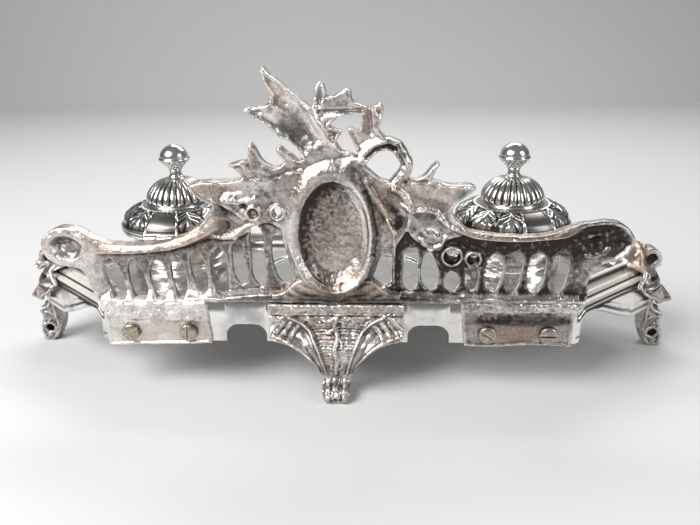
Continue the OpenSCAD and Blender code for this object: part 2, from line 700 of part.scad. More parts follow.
lid_inside = concat(
    [[stud_r + screw_clear, dome_top - 4.4]],
    curve([neck_r + 1, dome_top - 4.2], [dome_r * 0.5 - 1.5, dome_top - 5.5],
          [dome_r - lid_t - 1.5, dome_base_z + 7], [dome_r - lid_t - 0.4, dome_base_z + 1], 6),
    [[dome_r - lid_t, canopy_top - lid_t - 1.4], [dome_r + 3, canopy_top - lid_t - 1.6],
     [pot_flange_r - 2.5, band_top + 0.6], [pot_flange_r - 2.5, lid_z], [pot_flange_r, lid_z],
     [pot_flange_r, band_top - 0.8], [lid_r - lid_t, band_top - lid_t], [lid_r - lid_t, lid_z]]);

// Each flute is a tapered hollow from its foot to its head, seen in section
flute_r = 26 / flutes;
flute_foot = [dome_r + 0.3, dome_base_z + 4.2];
flute_head = [neck_r + 4.6, dome_top + 0.3];
flute_lean = atan2(flute_foot[0] - flute_head[0], flute_head[1] - flute_foot[1]);

module lid(s) {
    color(SILVER) at_well(s) difference() {
        union() {
            rotate_extrude() polygon(concat(lid_outside, lid_inside));
            translate([-mid_knuckle_w / 2, hinge_y, hinge_z]) rotate([0, 90, 0])
                cylinder(r = knuckle_r, h = mid_knuckle_w, $fn = 48);
            translate([-mid_knuckle_w / 2, lid_r - lid_t + 0.3, lid_z])
                cube([mid_knuckle_w, hinge_gap + lid_t - 0.3, 1.6]);
        }
        translate([-mid_knuckle_w, hinge_y, hinge_z]) rotate([0, 90, 0])
            cylinder(r = pin_r + pin_clear, h = 2 * mid_knuckle_w, $fn = 32);
        for (k = [0:flutes - 1]) rotate([0, 0, 360 * k / flutes])
            translate([flute_foot[0], 0, flute_foot[1]]) rotate([0, -flute_lean, 0])
                cylinder(r1 = flute_r, r2 = flute_r / 2, h = norm(flute_head - flute_foot), $fn = 16);
    }
}
module left_lid() { lid(-1); }
module right_lid() { lid(1); }

module finial(s) {
    z0 = dome_top;
    top = z0 + finial_h;
    bud_z = top - finial_h * 0.46;
    color(SILVER) at_well(s) {
        rotate_extrude() polygon(concat(
            [[0, z0], [neck_r + 0.9, z0], [neck_r + 0.9, z0 + 1], [neck_r, z0 + 1.4]],
            curve([neck_r, z0 + 2.4], [neck_r, z0 + 4], [bud_r * 0.7, z0 + 4.6],
                  [bud_r - 0.6, bud_z - 1.4], 6),
            [[bud_r, bud_z - 0.4], [bud_r, bud_z + 0.4]],
            curve([bud_r - 0.9, bud_z + 1.2], [bud_r - 1, bud_z + 4.2], [bud_r * 0.5, top],
                  [0, top], 8)));
        translate([0, 0, z0 - 4]) cylinder(r = stud_r, h = 4 + EPS, $fn = 32);
    }
}
module left_finial() { finial(-1); }
module right_finial() { finial(1); }

module hinge_pin(s) {
    color(STEEL) at_well(s) translate([-hinge_w / 2, hinge_y, hinge_z]) rotate([0, 90, 0])
        cylinder(r = pin_r, h = hinge_w, $fn = 32);
}
module left_hinge_pin() { hinge_pin(-1); }
module right_hinge_pin() { hinge_pin(1); }

// ---------- nodes ----------

tray();
gallery();
crest();
gallery_screws();
gallery_nuts();
rear_leg();
front_leg();
left_leg();
right_leg();
leg_screws();
left_end_leaf();
right_end_leaf();
left_well();
right_well();
well_screws();
left_ink_pot();
right_ink_pot();
left_lid();
right_lid();
left_finial();
right_finial();
left_hinge_pin();
right_hinge_pin();
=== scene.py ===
"""Dresses the packed frame of a desk inkstand: cast gallery and legs, tray, wells and fluted lids."""

import math

import bpy
import numpy as np
from bpy.props import FloatProperty, FloatVectorProperty, IntProperty, PointerProperty
from mathutils import Matrix, Vector


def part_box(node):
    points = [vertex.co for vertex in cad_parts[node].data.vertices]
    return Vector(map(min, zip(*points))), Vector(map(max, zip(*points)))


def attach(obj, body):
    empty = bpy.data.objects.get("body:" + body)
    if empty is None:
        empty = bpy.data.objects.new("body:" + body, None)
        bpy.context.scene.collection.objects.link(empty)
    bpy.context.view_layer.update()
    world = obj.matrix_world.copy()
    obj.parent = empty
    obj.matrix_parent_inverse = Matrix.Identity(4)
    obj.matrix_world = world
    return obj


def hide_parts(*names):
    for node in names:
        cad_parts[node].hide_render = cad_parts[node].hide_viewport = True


bl_info = {
    "name": "Desk Inkstand",
    "version": (1, 0, 0),
    "blender": (4, 5, 0),
    "location": "3D View > Sidebar > Inkstand",
    "description": "Builds the looks of a two-well desk inkstand round its packed frame",
    "category": "Object",
}

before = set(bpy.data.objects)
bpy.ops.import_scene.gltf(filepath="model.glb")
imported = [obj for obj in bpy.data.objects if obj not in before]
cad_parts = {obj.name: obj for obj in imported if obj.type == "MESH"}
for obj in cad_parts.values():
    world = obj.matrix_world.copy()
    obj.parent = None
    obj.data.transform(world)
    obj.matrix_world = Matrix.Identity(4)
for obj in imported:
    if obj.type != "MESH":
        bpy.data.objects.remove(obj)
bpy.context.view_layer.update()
MM = 0.001
BASE = "base"
SIDES = {"left": -1, "right": 1}


def node_box(node):
    """Lowest and highest corner of a CAD node, in millimetres."""
    lo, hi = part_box(node)
    return np.array(lo) / MM, np.array(hi) / MM


TRAY_LO, TRAY_HI = node_box("tray")
GALLERY_LO, GALLERY_HI = node_box("gallery")
CREST_LO, CREST_HI = node_box("crest")
LEG_HI = node_box("rear_leg")[1]
LID_LO, LID_HI = node_box("left_lid")
LEAF_HI = node_box("right_end_leaf")[1]
BEAD_Z = TRAY_HI[2]
SKIRT_Z = TRAY_LO[2]
REAR_Y = TRAY_HI[1]
END_X = TRAY_HI[0]
SCREW_Y = node_box("gallery_screws")[1][1]
HEAD_H, SLOT_D = 3.0, 0.55  # height of a screw's head, and depth of its slot


# ---------- sizes and colours ----------


def size(name, text, value, low=0.0, high=400.0):
    """A length in millimetres."""
    return FloatProperty(name=name, description=text + ", in mm", default=value, min=low, max=high)


def share(name, text, value):
    """A number from 0 to 1."""
    return FloatProperty(name=name, description=text, default=value, min=0.0, max=1.0, subtype="FACTOR")


def colour(name, text, value):
    """A linear colour."""
    return FloatVectorProperty(
        name=name, description=text, default=value, size=3, min=0.0, max=1.0, subtype="COLOR"
    )


class InkstandTray(bpy.types.PropertyGroup):
    """Sizes of the tray's mouldings."""

    edge_l: size("Edge length", "Length of the straight rear and front edges", 224.0)
    end_l: size("End length", "Length of the short edge at each end", 22.0)
    border_w: size("Border width", "Width of the ridged border outside the bead", 10.0)
    bead_w: size("Bead width", "Width of the bead", 3.0)
    edge_h: size("Skirt height", "Height of the skirt below the border", 13.0)
    border_rise: size("Border rise", "Rise of the border up to the plate", 4.0)
    sheet_t: size("Sheet thickness", "Thickness of the skirt", 2.0)
    notch_w: size("Notch width", "Width of each rounded notch beside a leg", 19.5)
    notch_h: size("Notch height", "Height of each notch", 9.0)
    field_half_l: size("Field half length", "Half length of the sunk field", 42.0)
    field_r: size("Field radius", "Radius of the sunk field's ends", 22.0)
    field_d: size("Field depth", "Depth of the sunk field", 1.2)
    arch_post: size("Arch post", "Skirt left beside a corner before a slanted side's arch", 2.5)
    arch_level: size("Arch level", "Length of the level part of a slanted side's arch", 16.0)
    arch_foot: size("Arch foot", "Skirt left beside each end after a slanted side's arch", 14.0)
    arch_r: size("Arch radius", "Radius of the arch's square corner", 3.0)
    raised: size("Raised border", "Rise of the border beside the gallery's flat seat", 3.2)
    pearl: size("Pearl pitch", "Distance between the pearls along a slanted side", 2.3, 0.5)


class InkstandCasting(bpy.types.PropertyGroup):
    """Sizes of the sculpted castings."""

    grain: size("Grid step", "Spacing of the sculpting grid", 0.5, 0.2, 3.0)
    web_y: size("Web face", "Rear face of the pierced web from the middle", 52.2)
    rim_k: size("Edge rounding", "Rounding of the castings' edges", 1.1)


class InkstandLids(bpy.types.PropertyGroup):
    """Sizes of the lids' ornament."""

    flutes: IntProperty(name="Tongues", description="Tongues round the dome", default=26, min=6, max=40)
    fans: IntProperty(name="Leaf fans", description="Leaf fans round the canopy", default=12, min=4, max=16)
    tongue_h: size("Tongue relief", "Height of the tongues", 0.75)
    fan_h: size("Fan relief", "Height of the leaf fans", 1.0)
    panel_deg: size("Panel half angle", "Half angle of the smooth rear panel in degrees", 14.5)


class InkstandFinish(bpy.types.PropertyGroup):
    """Colours of the metals and the glass."""

    silver: colour("Polished silver", "Bright plate", (0.86, 0.845, 0.82))
    # This colour also gives the painted highlights on the gallery.
    cast: colour("Cast silver", "Plate on the castings", (0.46, 0.41, 0.375))
    rim: colour("Burnished rim", "Silver rubbed bright on the edges", (0.92, 0.90, 0.88))
    # This dark colour also stands for painted shade and painted dark reflections.
    tarnish_and_shade: colour("Tarnish", "Dark tarnish in the hollows", (0.050, 0.042, 0.038))
    warm: colour("Worn copper tint", "Warm metal where the plate is thin", (0.54, 0.41, 0.33))
    cream: colour("Satin silver", "Pale satin skin of the tray's mouldings", (0.86, 0.82, 0.76))
    grey: colour("Grey tarnish", "Grey bloom on the sheet", (0.36, 0.36, 0.37))
    brass: colour("Brass", "Brass of the nuts and the screw slots", (0.80, 0.60, 0.26))
    steel: colour("Steel", "Steel of the screws and pins", (0.55, 0.52, 0.47))
    glass: colour("Glass", "Tint of the ink pots", (0.86, 0.94, 0.94))
    polish: share("Polish roughness", "Roughness of the polished sheet", 0.13)
    satin: share("Casting roughness", "Roughness of the castings", 0.24)


class InkstandStage(bpy.types.PropertyGroup):
    """The floor, the light and the camera."""

    floor: colour("Floor", "Colour of the floor and backdrop", (0.65, 0.65, 0.65))
    sky: FloatProperty(name="Fill", description="Strength of the studio's fill light", default=0.19)
    key: FloatProperty(name="Key", description="Power of the key lamp", default=13.2, unit="POWER")
    lens: FloatProperty(name="Lens", description="Focal length in mm", default=37.08)


GROUPS = {
    "inkstand_tray": InkstandTray,
    "inkstand_casting": InkstandCasting,
    "inkstand_lids": InkstandLids,
    "inkstand_finish": InkstandFinish,
    "inkstand_stage": InkstandStage,
}


# ---------- shader maths ----------


class Sock:
    """A shader socket that adds Math nodes when it is used in an expression."""

    def __init__(self, paint, socket):
        self.paint, self.socket = paint, socket

    def _math(self, operation, *values):
        return self.paint.node("ShaderNodeMath", {"operation": operation}, dict(enumerate(values)))

    def __add__(self, other):
        return self._math("ADD", self, other)

    __radd__ = __add__

    def __mul__(self, other):
        return self._math("MULTIPLY", self, other)

    __rmul__ = __mul__

    def __sub__(self, other):
        return self._math("SUBTRACT", self, other)

    def __rsub__(self, other):
        return self._math("SUBTRACT", other, self)

    def clipped(self):
        """This value kept between 0 and 1."""
        return self._math("MAXIMUM", self._math("MINIMUM", self, 1.0), 0.0)

    def step(self, low, high):
        """0 below low, 1 above high, smooth between."""
        return self.paint.node(
            "ShaderNodeMapRange",
            {"interpolation_type": "SMOOTHSTEP"},
            {"Value": self, "From Min": low, "From Max": high},
        )


class Paint:
    """Builds one material's nodes."""

    def __init__(self, name):
        self.material = bpy.data.materials.new(name)
        self.material.use_nodes = True
        self.tree = self.material.node_tree
        self.shader = next(n for n in self.tree.nodes if n.type == "BSDF_PRINCIPLED")

    def node(self, kind, settings=None, inputs=None, output=0):
        """Adds a node, sets it, then fills its sockets; returns one output."""
        made = self.tree.nodes.new(kind)
        for key, value in (settings or {}).items():
            setattr(made, key, value)
        self.fill(made, inputs or {})
        return Sock(self, made.outputs[output])

    def fill(self, made, inputs):
        """Puts values or links on a node's sockets."""
        for key, value in inputs.items():
            if isinstance(value, Sock):
                self.tree.links.new(value.socket, made.inputs[key])
            elif made.inputs[key].type == "RGBA":
                made.inputs[key].default_value = (*value, 1.0)
            else:
                made.inputs[key].default_value = value

    def mix(self, factor, a, b):
        """Colour a turning into colour b as factor goes from 0 to 1; the node's colours are sockets 6 and 7."""
        settings = {"data_type": "RGBA", "clamp_factor": True}
        return self.node("ShaderNodeMix", settings, {0: factor, 6: a, 7: b}, 2)

    def place(self, stretch=(1.0, 1.0, 1.0)):
        """Object coordinates in millimetres, each multiplied by its stretch."""
        coords = self.node("ShaderNodeTexCoord", output=3)
        factor = tuple(s / MM for s in stretch)
        return self.node("ShaderNodeVectorMath", {"operation": "MULTIPLY"}, {0: coords, 1: factor})

    def noise(self, scale, detail, rough, stretch=(1.0, 1.0, 1.0)):
        """Noise with features of about 1 / scale millimetres."""
        return self.node(
            "ShaderNodeTexNoise",
            None,
            {"Vector": self.place(stretch), "Scale": scale, "Detail": detail, "Roughness": rough},
        )

    def cells(self, scale):
        """Distance to the nearest of scattered points."""
        return self.node("ShaderNodeTexVoronoi", None, {"Vector": self.place(), "Scale": scale})

    def stored(self, name):
        """A value stored on the mesh."""
        return self.node("ShaderNodeAttribute", {"attribute_name": name}, output=2)

    def bump(self, height, strength, distance):
        """A bumped normal from a height."""
        return self.node("ShaderNodeBump", None, {"Height": height, "Strength": strength, "Distance": distance})

    def metal(self, tone, metallic, rough, height, strength, depth):
        """Sets the shader as metal whose skin is bumped by a height, at most depth millimetres."""
        normal = self.bump(height, strength, depth * MM)
        return self.finish(Base_Color=tone, Metallic=metallic, Roughness=rough, Normal=normal)

    def finish(self, **inputs):
        """Sets the shader's sockets, named with _ for a space."""
        self.fill(self.shader, {key.replace("_", " "): value for key, value in inputs.items()})
        return self.material


def finish_of():
    """The colours and the roughness that the sidebar sets."""
    return bpy.context.scene.inkstand_finish


def cast_silver():
    """Plate on a casting: smooth dark hollows of patina and painted shade, warm worn patches, granular skin, and
    bright rims that are rubbed edges and painted highlights.
    """
    c, p = finish_of(), Paint("cast_silver")
    hollow, worn, edge = p.stored("hollow"), p.stored("worn"), p.stored("edge")
    patch = p.noise(0.055, 3.0, 0.5).step(0.40, 0.62)
    mottle = p.noise(0.17, 4.0, 0.62)
    grit = p.noise(1.0, 3.0, 0.62)
    grain = grit.step(0.34, 0.72)
    open_skin = (1 - hollow * 0.85).clipped()
    pitted = (1 - p.cells(0.8).step(0.06, 0.30)) * mottle.step(0.46, 0.60) * open_skin
    warmth = (worn * (0.2 + mottle * 1.5) - 0.15 + (patch - 0.5) * worn * 0.4).clipped()
    shade = hollow * (1.12 + (mottle - 0.5) * 0.9) + (0.5 - grain) * open_skin * (0.24 + patch * 0.45)
    # the hollow values also carry painted shade and painted dark reflections
    depth = (shade + pitted * 0.7 + (0.5 - mottle) * open_skin * 0.6 - edge * 0.5).clipped()
    metal = p.mix(mottle.step(0.38, 0.66) * 0.75 + grain * 0.2, c.cast, c.silver)
    metal = p.mix(warmth, metal, c.warm)
    metal = p.mix(depth, metal, c.tarnish_and_shade)
    # the rim colour, and the lower metallic value on edges, also give the painted highlights
    metal = p.mix((edge * (0.45 + grain * 0.5)).clipped(), metal, c.rim)
    rough = (c.satin + depth * 0.12 + patch * 0.10 - edge * 0.08).clipped()
    height = grit * (open_skin * 0.9 + 0.1) + mottle * 0.9 - pitted * 0.7
    return p.metal(metal, (1 - edge * 0.35).clipped(), rough, height, 0.6, 0.5)


def polished_silver(name, bloom=1.0, bumps=0.12):
    """Bright sheet with fine scratches, a grey bloom, and dark patina with painted shade in the grooves; on the lids
    the darkness also stands for painted dark reflections.
    """
    c, p = finish_of(), Paint(name)
    hollow, edge, satin = p.stored("hollow"), p.stored("edge"), p.stored("worn")
    cloud = p.noise(0.045, 4.0, 0.6)
    fine = p.noise(0.9, 3.0, 0.6)
    brushed = p.noise(0.35, 4.0, 0.7, (1.0, 9.0, 9.0))
    stain = (cloud.step(0.40, 0.70) * 0.5 * bloom).clipped()
    depth = (hollow * 1.25 + stain * 0.25 * fine - edge * 0.4).clipped()
    metal = p.mix(stain, c.silver, c.grey)
    metal = p.mix(fine.step(0.55, 0.8) * 0.22 * bloom, metal, c.warm)
    metal = p.mix(satin * (0.55 + fine * 0.5), metal, c.cream)
    metal = p.mix(depth, metal, c.tarnish_and_shade)
    metal = p.mix(edge * 0.8, metal, c.rim)
    rough = (c.polish + stain * 0.22 + brushed * 0.07 + depth * 0.2 + satin * 0.25).clipped()
    height = brushed * (1 + satin * 2) + fine * (0.5 + satin * 3)
    return p.metal(metal, 1 - satin * 0.5, rough, height, bumps, 0.1)


def turned_metal(name, tone, other, roughness):
    """Turned metal with fine marks and dirt."""
    p = Paint(name)
    marks = p.noise(2.2, 4.0, 0.65)
    dirt = p.noise(0.5, 3.0, 0.6).step(0.48, 0.68)
    metal = p.mix(dirt * 0.55, tone, other)
    return p.metal(metal, 1.0, (roughness + marks * 0.2 + dirt * 0.1).clipped(), marks, 0.3, 0.1)


def slotted_screw():
    """Steel screw heads, darker on their sloping sides, with brass showing in their slots."""
    c, p = finish_of(), Paint("screw_steel")
    depth = p.node("ShaderNodeSeparateXYZ", None, {0: p.node("ShaderNodeTexCoord", output=3)}, 1) * (1 / MM)
    facing = p.node("ShaderNodeSeparateXYZ", None, {0: p.node("ShaderNodeNewGeometry", output=1)}, 1)
    head = (depth - (SCREW_Y - HEAD_H)).step(0.0, 0.01)
    slot = (1 - (depth - (SCREW_Y - SLOT_D)).step(0.0, 0.02)) * head * facing.step(0.8, 0.95)
    side = 1 - facing.step(0.55, 0.9)
    marks = p.noise(1.4, 4.0, 0.65)
    metal = p.mix(marks.step(0.4, 0.6) * 0.6 + side * 0.4, c.steel, c.tarnish_and_shade)
    metal = p.mix(slot * (0.55 + marks * 0.6), metal, c.brass)
    return p.metal(metal, 1.0, (0.2 + marks * 0.25).clipped(), marks, 0.4, 0.2)


def clear_glass():
    """Moulded glass with faint ripples."""
    c, p = finish_of(), Paint("clear_glass")
    waves = p.noise(0.12, 2.0, 0.4)
    tint = p.mix(waves.step(0.3, 0.8), c.glass, (0.95, 0.98, 0.98))
    return p.finish(
        Base_Color=tint,
        Transmission_Weight=1.0,
        IOR=1.5,
        Roughness=(waves * 0.06).clipped(),
        Normal=p.bump(waves, 0.15, 0.5 * MM),
    )


def pale_floor():
    """Matt studio paper."""
    stage, p = bpy.context.scene.inkstand_stage, Paint("studio_paper")
    fibre = p.noise(0.02, 3.0, 0.5)
    tone = p.mix(fibre * 0.04, stage.floor, (0.7, 0.7, 0.7))
    return p.finish(Base_Color=tone, Roughness=0.75, Specular_IOR_Level=0.2)


MADE = {}


def material(name):
    """The named material, built the first time it is asked for."""
    if name not in MADE:
        c = finish_of()
        makers = {
            "cast_silver": cast_silver,
            "tray_silver": lambda: polished_silver("tray_silver", 1.5),
            "lid_silver": lambda: polished_silver("lid_silver", 0.45, 0.06),
            "well_silver": lambda: polished_silver("well_silver", 0.8),
            "screw_steel": slotted_screw,
            "pin_steel": lambda: turned_metal("pin_steel", c.steel, c.tarnish_and_shade, 0.25),
            "nut_brass": lambda: turned_metal("nut_brass", c.brass, c.tarnish_and_shade, 0.35),
            "clear_glass": clear_glass,
            "studio_paper": pale_floor,
        }
        MADE[name] = makers[name]()
    return MADE[name]


# ---------- fields and meshes, in millimetres ----------


def curve(a, b, c, d, n=14):
    """Points along a cubic curve from a to d with the handles b and c."""
    t = np.linspace(0.0, 1.0, n + 1)[:, None]
    a, b, c, d = (np.array(p, float) for p in (a, b, c, d))
    return (1 - t) ** 3 * a + 3 * (1 - t) ** 2 * t * b + 3 * (1 - t) * t**2 * c + t**3 * d


def smooth(x, low, high):
    """0 below low, 1 above high, smooth between."""
    t = np.clip((x - low) / (high - low), 0.0, 1.0)
    return t * t * (3 - 2 * t)


def blend_max(a, b, k):
    """The larger of two fields, rounded over k."""
    return np.maximum(a, b) + np.maximum(k - np.abs(a - b), 0.0) ** 2 / (4 * k)


def blend_min(a, b, k):
    """The smaller of two fields, rounded over k."""
    return -blend_max(-a, -b, k)


def hump(d, width):
    """A round ridge of height 1 across a distance d."""
    return np.sqrt(np.clip(1 - (d / width) ** 2, 0.0, 1.0))


def bell(d, width):
    """A soft ridge of height 1 across a distance d."""
    return np.exp(-((d / width) ** 2))


def to_outline(u, v, points):
    """Signed distance to a closed outline, negative inside."""
    points = np.asarray(points, float)
    nearest, inside = np.full(u.shape, 1e9), np.zeros(u.shape, bool)
    for (au, av), (bu, bv) in zip(points, np.roll(points, -1, 0)):
        eu, ev = bu - au, bv - av
        t = np.clip(((u - au) * eu + (v - av) * ev) / (eu * eu + ev * ev + 1e-12), 0.0, 1.0)
        nearest = np.minimum(nearest, (u - au - eu * t) ** 2 + (v - av - ev * t) ** 2)
        if av != bv:
            inside ^= ((av > v) != (bv > v)) & (u < eu * (v - av) / ev + au)
    return np.where(inside, -1.0, 1.0) * np.sqrt(nearest)


def to_line(u, v, points):
    """Distance to an open line, and how far along it the nearest point lies, from 0 to 1."""
    points = np.asarray(points, float)
    runs = np.hypot(*np.diff(points, axis=0).T)
    starts, whole = np.concatenate([[0.0], np.cumsum(runs)]), runs.sum()
    nearest, along = np.full(u.shape, 1e9), np.zeros(u.shape)
    for (au, av), (bu, bv), start, run in zip(points, points[1:], starts, runs):
        eu, ev = bu - au, bv - av
        t = np.clip(((u - au) * eu + (v - av) * ev) / (run * run + 1e-12), 0.0, 1.0)
        d = (u - au - eu * t) ** 2 + (v - av - ev * t) ** 2
        along = np.where(d < nearest, (start + run * t) / whole, along)
        nearest = np.minimum(nearest, d)
    return np.sqrt(nearest), along


HASH_STEPS = (73856093, 19349663, 83492791)


def ripple(u, v, w=0.0, scale=4.0, seed=1, octaves=3):
    """Smooth seeded noise, about -1 to 1, with features of about that scale."""
    total = 0.0
    for octave in range(octaves):
        p = [np.asarray(c, float) / scale * 2**octave + 37.1 * (octave + 1) for c in (u, v, w)]
        cell = [np.floor(c).astype(np.int64) for c in p]
        part = [smooth(c - i, 0.0, 1.0) for c, i in zip(p, cell)]
        value = 0.0
        for corner in range(8):
            bits = [(corner >> k) & 1 for k in range(3)]
            code = sum((i + b) * m for i, b, m in zip(cell, bits, HASH_STEPS))
            code = (code ^ (seed * 2654435761)) & 0x7FFFFFFF
            code = ((code ^ (code >> 13)) * 1274126177) & 0x7FFFFFFF
            lean = 1.0
            for t, b in zip(part, bits):
                lean = lean * (t if b else 1 - t)
            value = value + lean * ((code ^ (code >> 16)) & 0xFFFF) / 32767.5
        total = total + (value - 1.0) / 2**octave
    return total


def skin(field, low, step):
    """Corners and quads of the surface where a field on a grid is 0; it is negative inside."""
    low, step = np.asarray(low, float), np.asarray(step, float)
    inside = field < 0
    cells = np.zeros([n - 1 for n in field.shape], np.int8)
    for corner in range(8):
        i, j, k = ((corner >> s) & 1 for s in range(3))
        cells += inside[i : i + cells.shape[0], j : j + cells.shape[1], k : k + cells.shape[2]]
    where = np.argwhere((cells > 0) & (cells < 8))
    index = np.full(cells.shape, -1, np.int64)
    index[tuple(where.T)] = np.arange(len(where))
    total, count = np.zeros((len(where), 3)), np.zeros(len(where))
    for axis in range(3):
        others = [a for a in range(3) if a != axis]
        for corner in range(4):
            start = np.zeros(3, int)
            start[others[0]], start[others[1]] = corner & 1, corner >> 1
            stop = start.copy()
            stop[axis] = 1
            fa, fb = field[tuple((where + start).T)], field[tuple((where + stop).T)]
            hit = (fa < 0) != (fb < 0)
            t = (fa / np.where(hit, fa - fb, 1.0))[hit]
            point = (where + start)[hit].astype(float)
            point[:, axis] += t
            total[hit] += point
            count[hit] += 1
    corners = low + total / count[:, None] * step
    quads = []
    for axis in range(3):
        b, c = (axis + 1) % 3, (axis + 2) % 3
        first = np.take(inside, range(field.shape[axis] - 1), axis)
        second = np.take(inside, range(1, field.shape[axis]), axis)
        at = np.argwhere(first != second)
        at = at[(at[:, b] > 0) & (at[:, c] > 0)]
        at = at[(at[:, b] < cells.shape[b]) & (at[:, c] < cells.shape[c])]
        ring = []
        for db, dc in ((0, 0), (1, 0), (1, 1), (0, 1)):
            cell = at.copy()
            cell[:, b] -= db
            cell[:, c] -= dc
            ring.append(index[tuple(cell.T)])
        quad = np.stack(ring, 1)
        out = first[tuple(at.T)]
        quads.append(np.where(out[:, None], quad, quad[:, ::-1]))
    return corners, np.concatenate(quads)


def hollows(corners, quads, rounds=3):
    """How hollow and how sharp each corner of a quad mesh is, from its neighbours."""
    a, b = corners[quads[:, 2]] - corners[quads[:, 0]], corners[quads[:, 3]] - corners[quads[:, 1]]
    face = np.cross(a, b)
    normal = np.zeros_like(corners)
    for k in range(4):
        np.add.at(normal, quads[:, k], face)
    normal /= np.linalg.norm(normal, axis=1)[:, None] + 1e-12
    links = np.concatenate([quads[:, [k, (k + 1) % 4]] for k in range(4)])

    def spread(values):
        total, count = np.zeros_like(values), np.zeros(len(values))
        for i, j in ((0, 1), (1, 0)):
            np.add.at(total, links[:, i], values[links[:, j]])
            np.add.at(count, links[:, i], 1)
        return total / np.maximum(count, 1).reshape([-1] + [1] * (values.ndim - 1))

    bend = np.einsum("ij,ij->i", spread(corners) - corners, normal)
    bend = bend / np.linalg.norm(corners[links[:, 0]] - corners[links[:, 1]], axis=1).mean()
    for _ in range(rounds):
        bend = 0.5 * bend + 0.5 * spread(bend)
    return np.clip(bend * 6, 0, 1), np.clip(-bend * 5 - 0.12, 0, 1)


def add_piece(name, corners, faces, finish, body=BASE, slot="silver_casting", values=None):
    """Makes a mesh piece from corners in millimetres, with values stored on its corners."""
    mesh = bpy.data.meshes.new(name)
    corners, faces = np.asarray(corners, float), np.asarray(faces)
    mesh.vertices.add(len(corners))
    mesh.vertices.foreach_set("co", (corners * MM).ravel())
    kept = faces != np.roll(faces, 1, 1)
    mesh.loops.add(int(kept.sum()))
    mesh.loops.foreach_set("vertex_index", faces[kept].astype(np.int32))
    mesh.polygons.add(len(faces))
    ends = np.cumsum(kept.sum(1))
    mesh.polygons.foreach_set("loop_start", np.concatenate([[0], ends[:-1]]).astype(np.int32))
    mesh.polygons.foreach_set("use_smooth", np.ones(len(faces), bool))
    mesh.update(calc_edges=True)
    mesh.validate()
    for key, stored in (values or {}).items():
        mesh.attributes.new(key, "FLOAT", "POINT").data.foreach_set("value", np.asarray(stored, np.float32))
    made = bpy.data.objects.new(name, mesh)
    bpy.context.collection.objects.link(made)
    mesh.materials.append(material(finish))
    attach(made, body)
    return made


def add_sculpt(name, field, low, step, finish="cast_silver", values=None, turn=None, **where):
    """Makes a piece from a field on a grid, with its hollows found and its values worked out."""
    corners, quads = skin(field, low, step)
    hollow, edge = hollows(corners, quads)
    stored = {"hollow": hollow, "edge": edge, "worn": np.full(len(corners), 0.5)}
    for key, function in (values or {}).items():
        stored[key] = np.clip(function(corners, stored), 0, 1)
    if turn is not None:
        corners = turn(corners)
    return add_piece(name, corners, quads, finish, values=stored, **where)


def grid(low, high, step):
    """Coordinates along each axis of a grid that covers low to high."""
    return [np.arange(a, b + step, step) for a, b in zip(low, high)]


def space(low, high, step):
    """Coordinates of every corner of a grid that covers low to high."""
    return np.meshgrid(*grid(low, high, step), indexing="ij")


# ---------- rear gallery and crest, in mm: u to the right seen from behind, v above the gallery's foot ----------

RAIL_TOP = {  # upper edge of each wing's rail
    -1: [(-113, 32.4), (-108.9, 30.2), (-103, 28.6), (-93, 28.1), (-84, 28.5), (-76.5, 30), (-68.5, 33), (-63, 36.6),
         (-58, 41), (-54, 46)],
    1: [(51, 39), (56, 36.4), (62, 34.4), (72, 32.8), (85, 32.2), (92, 32.6), (98.3, 33.8), (104, 36), (110, 38.2)],
}
RAIL_LOW = {  # lower edge of each wing's rail
    -1: [(-113, 22.8), (-92.5, 23.4), (-76.6, 24.8), (-68.6, 27), (-57.4, 31), (-54, 33)],
    1: [(51, 36), (56.4, 33.4), (63.9, 30.6), (78.8, 29.4), (91.9, 30.2), (102.2, 31), (110.7, 33.6)],
}
RAIL_BACK = {-1: 57.0, 1: 56.4}  # rear face of each rail
ENDS = {  # outlines of the volutes and the ends of the wings
    -1: [(-104, 28.8), (-108.9, 30.4), (-113, 32.4), (-117.3, 35.1), (-121.8, 36.6), (-126.5, 36.7), (-131.6, 34.7),
         (-135.5, 30.9), (-136.5, 27.7), (-135.8, 24.2), (-133, 20.4), (-128.6, 18), (-123, 17), (-119.4, 15.6),
         (-116.9, 8.8), (-114.6, 2), (-113.2, -1.2), (-111.2, -4.4), (-100, -4.4)],
    1: [(97, 33.4), (101.8, 35), (107.4, 37), (112, 38.4), (116.5, 39), (121.6, 39.3), (127, 38.1), (131.9, 34.2),
        (134, 29.8), (132.2, 24.9), (127.4, 20.8), (121.8, 18.5), (118.4, 16.4), (116.3, 12.7), (115.4, 8.7),
        (115.8, 3), (113.9, -2.2), (110.9, -4.6), (97, -4.6)],
}
EYE = [(-131.6, 28.7), (-128.7, 31.7), (-124.4, 32.3), (-120.3, 31.2), (-117, 27.8), (-118.6, 23.4), (-122.2, 21.4),
       (-126.9, 22.2), (-130.3, 24.6)]
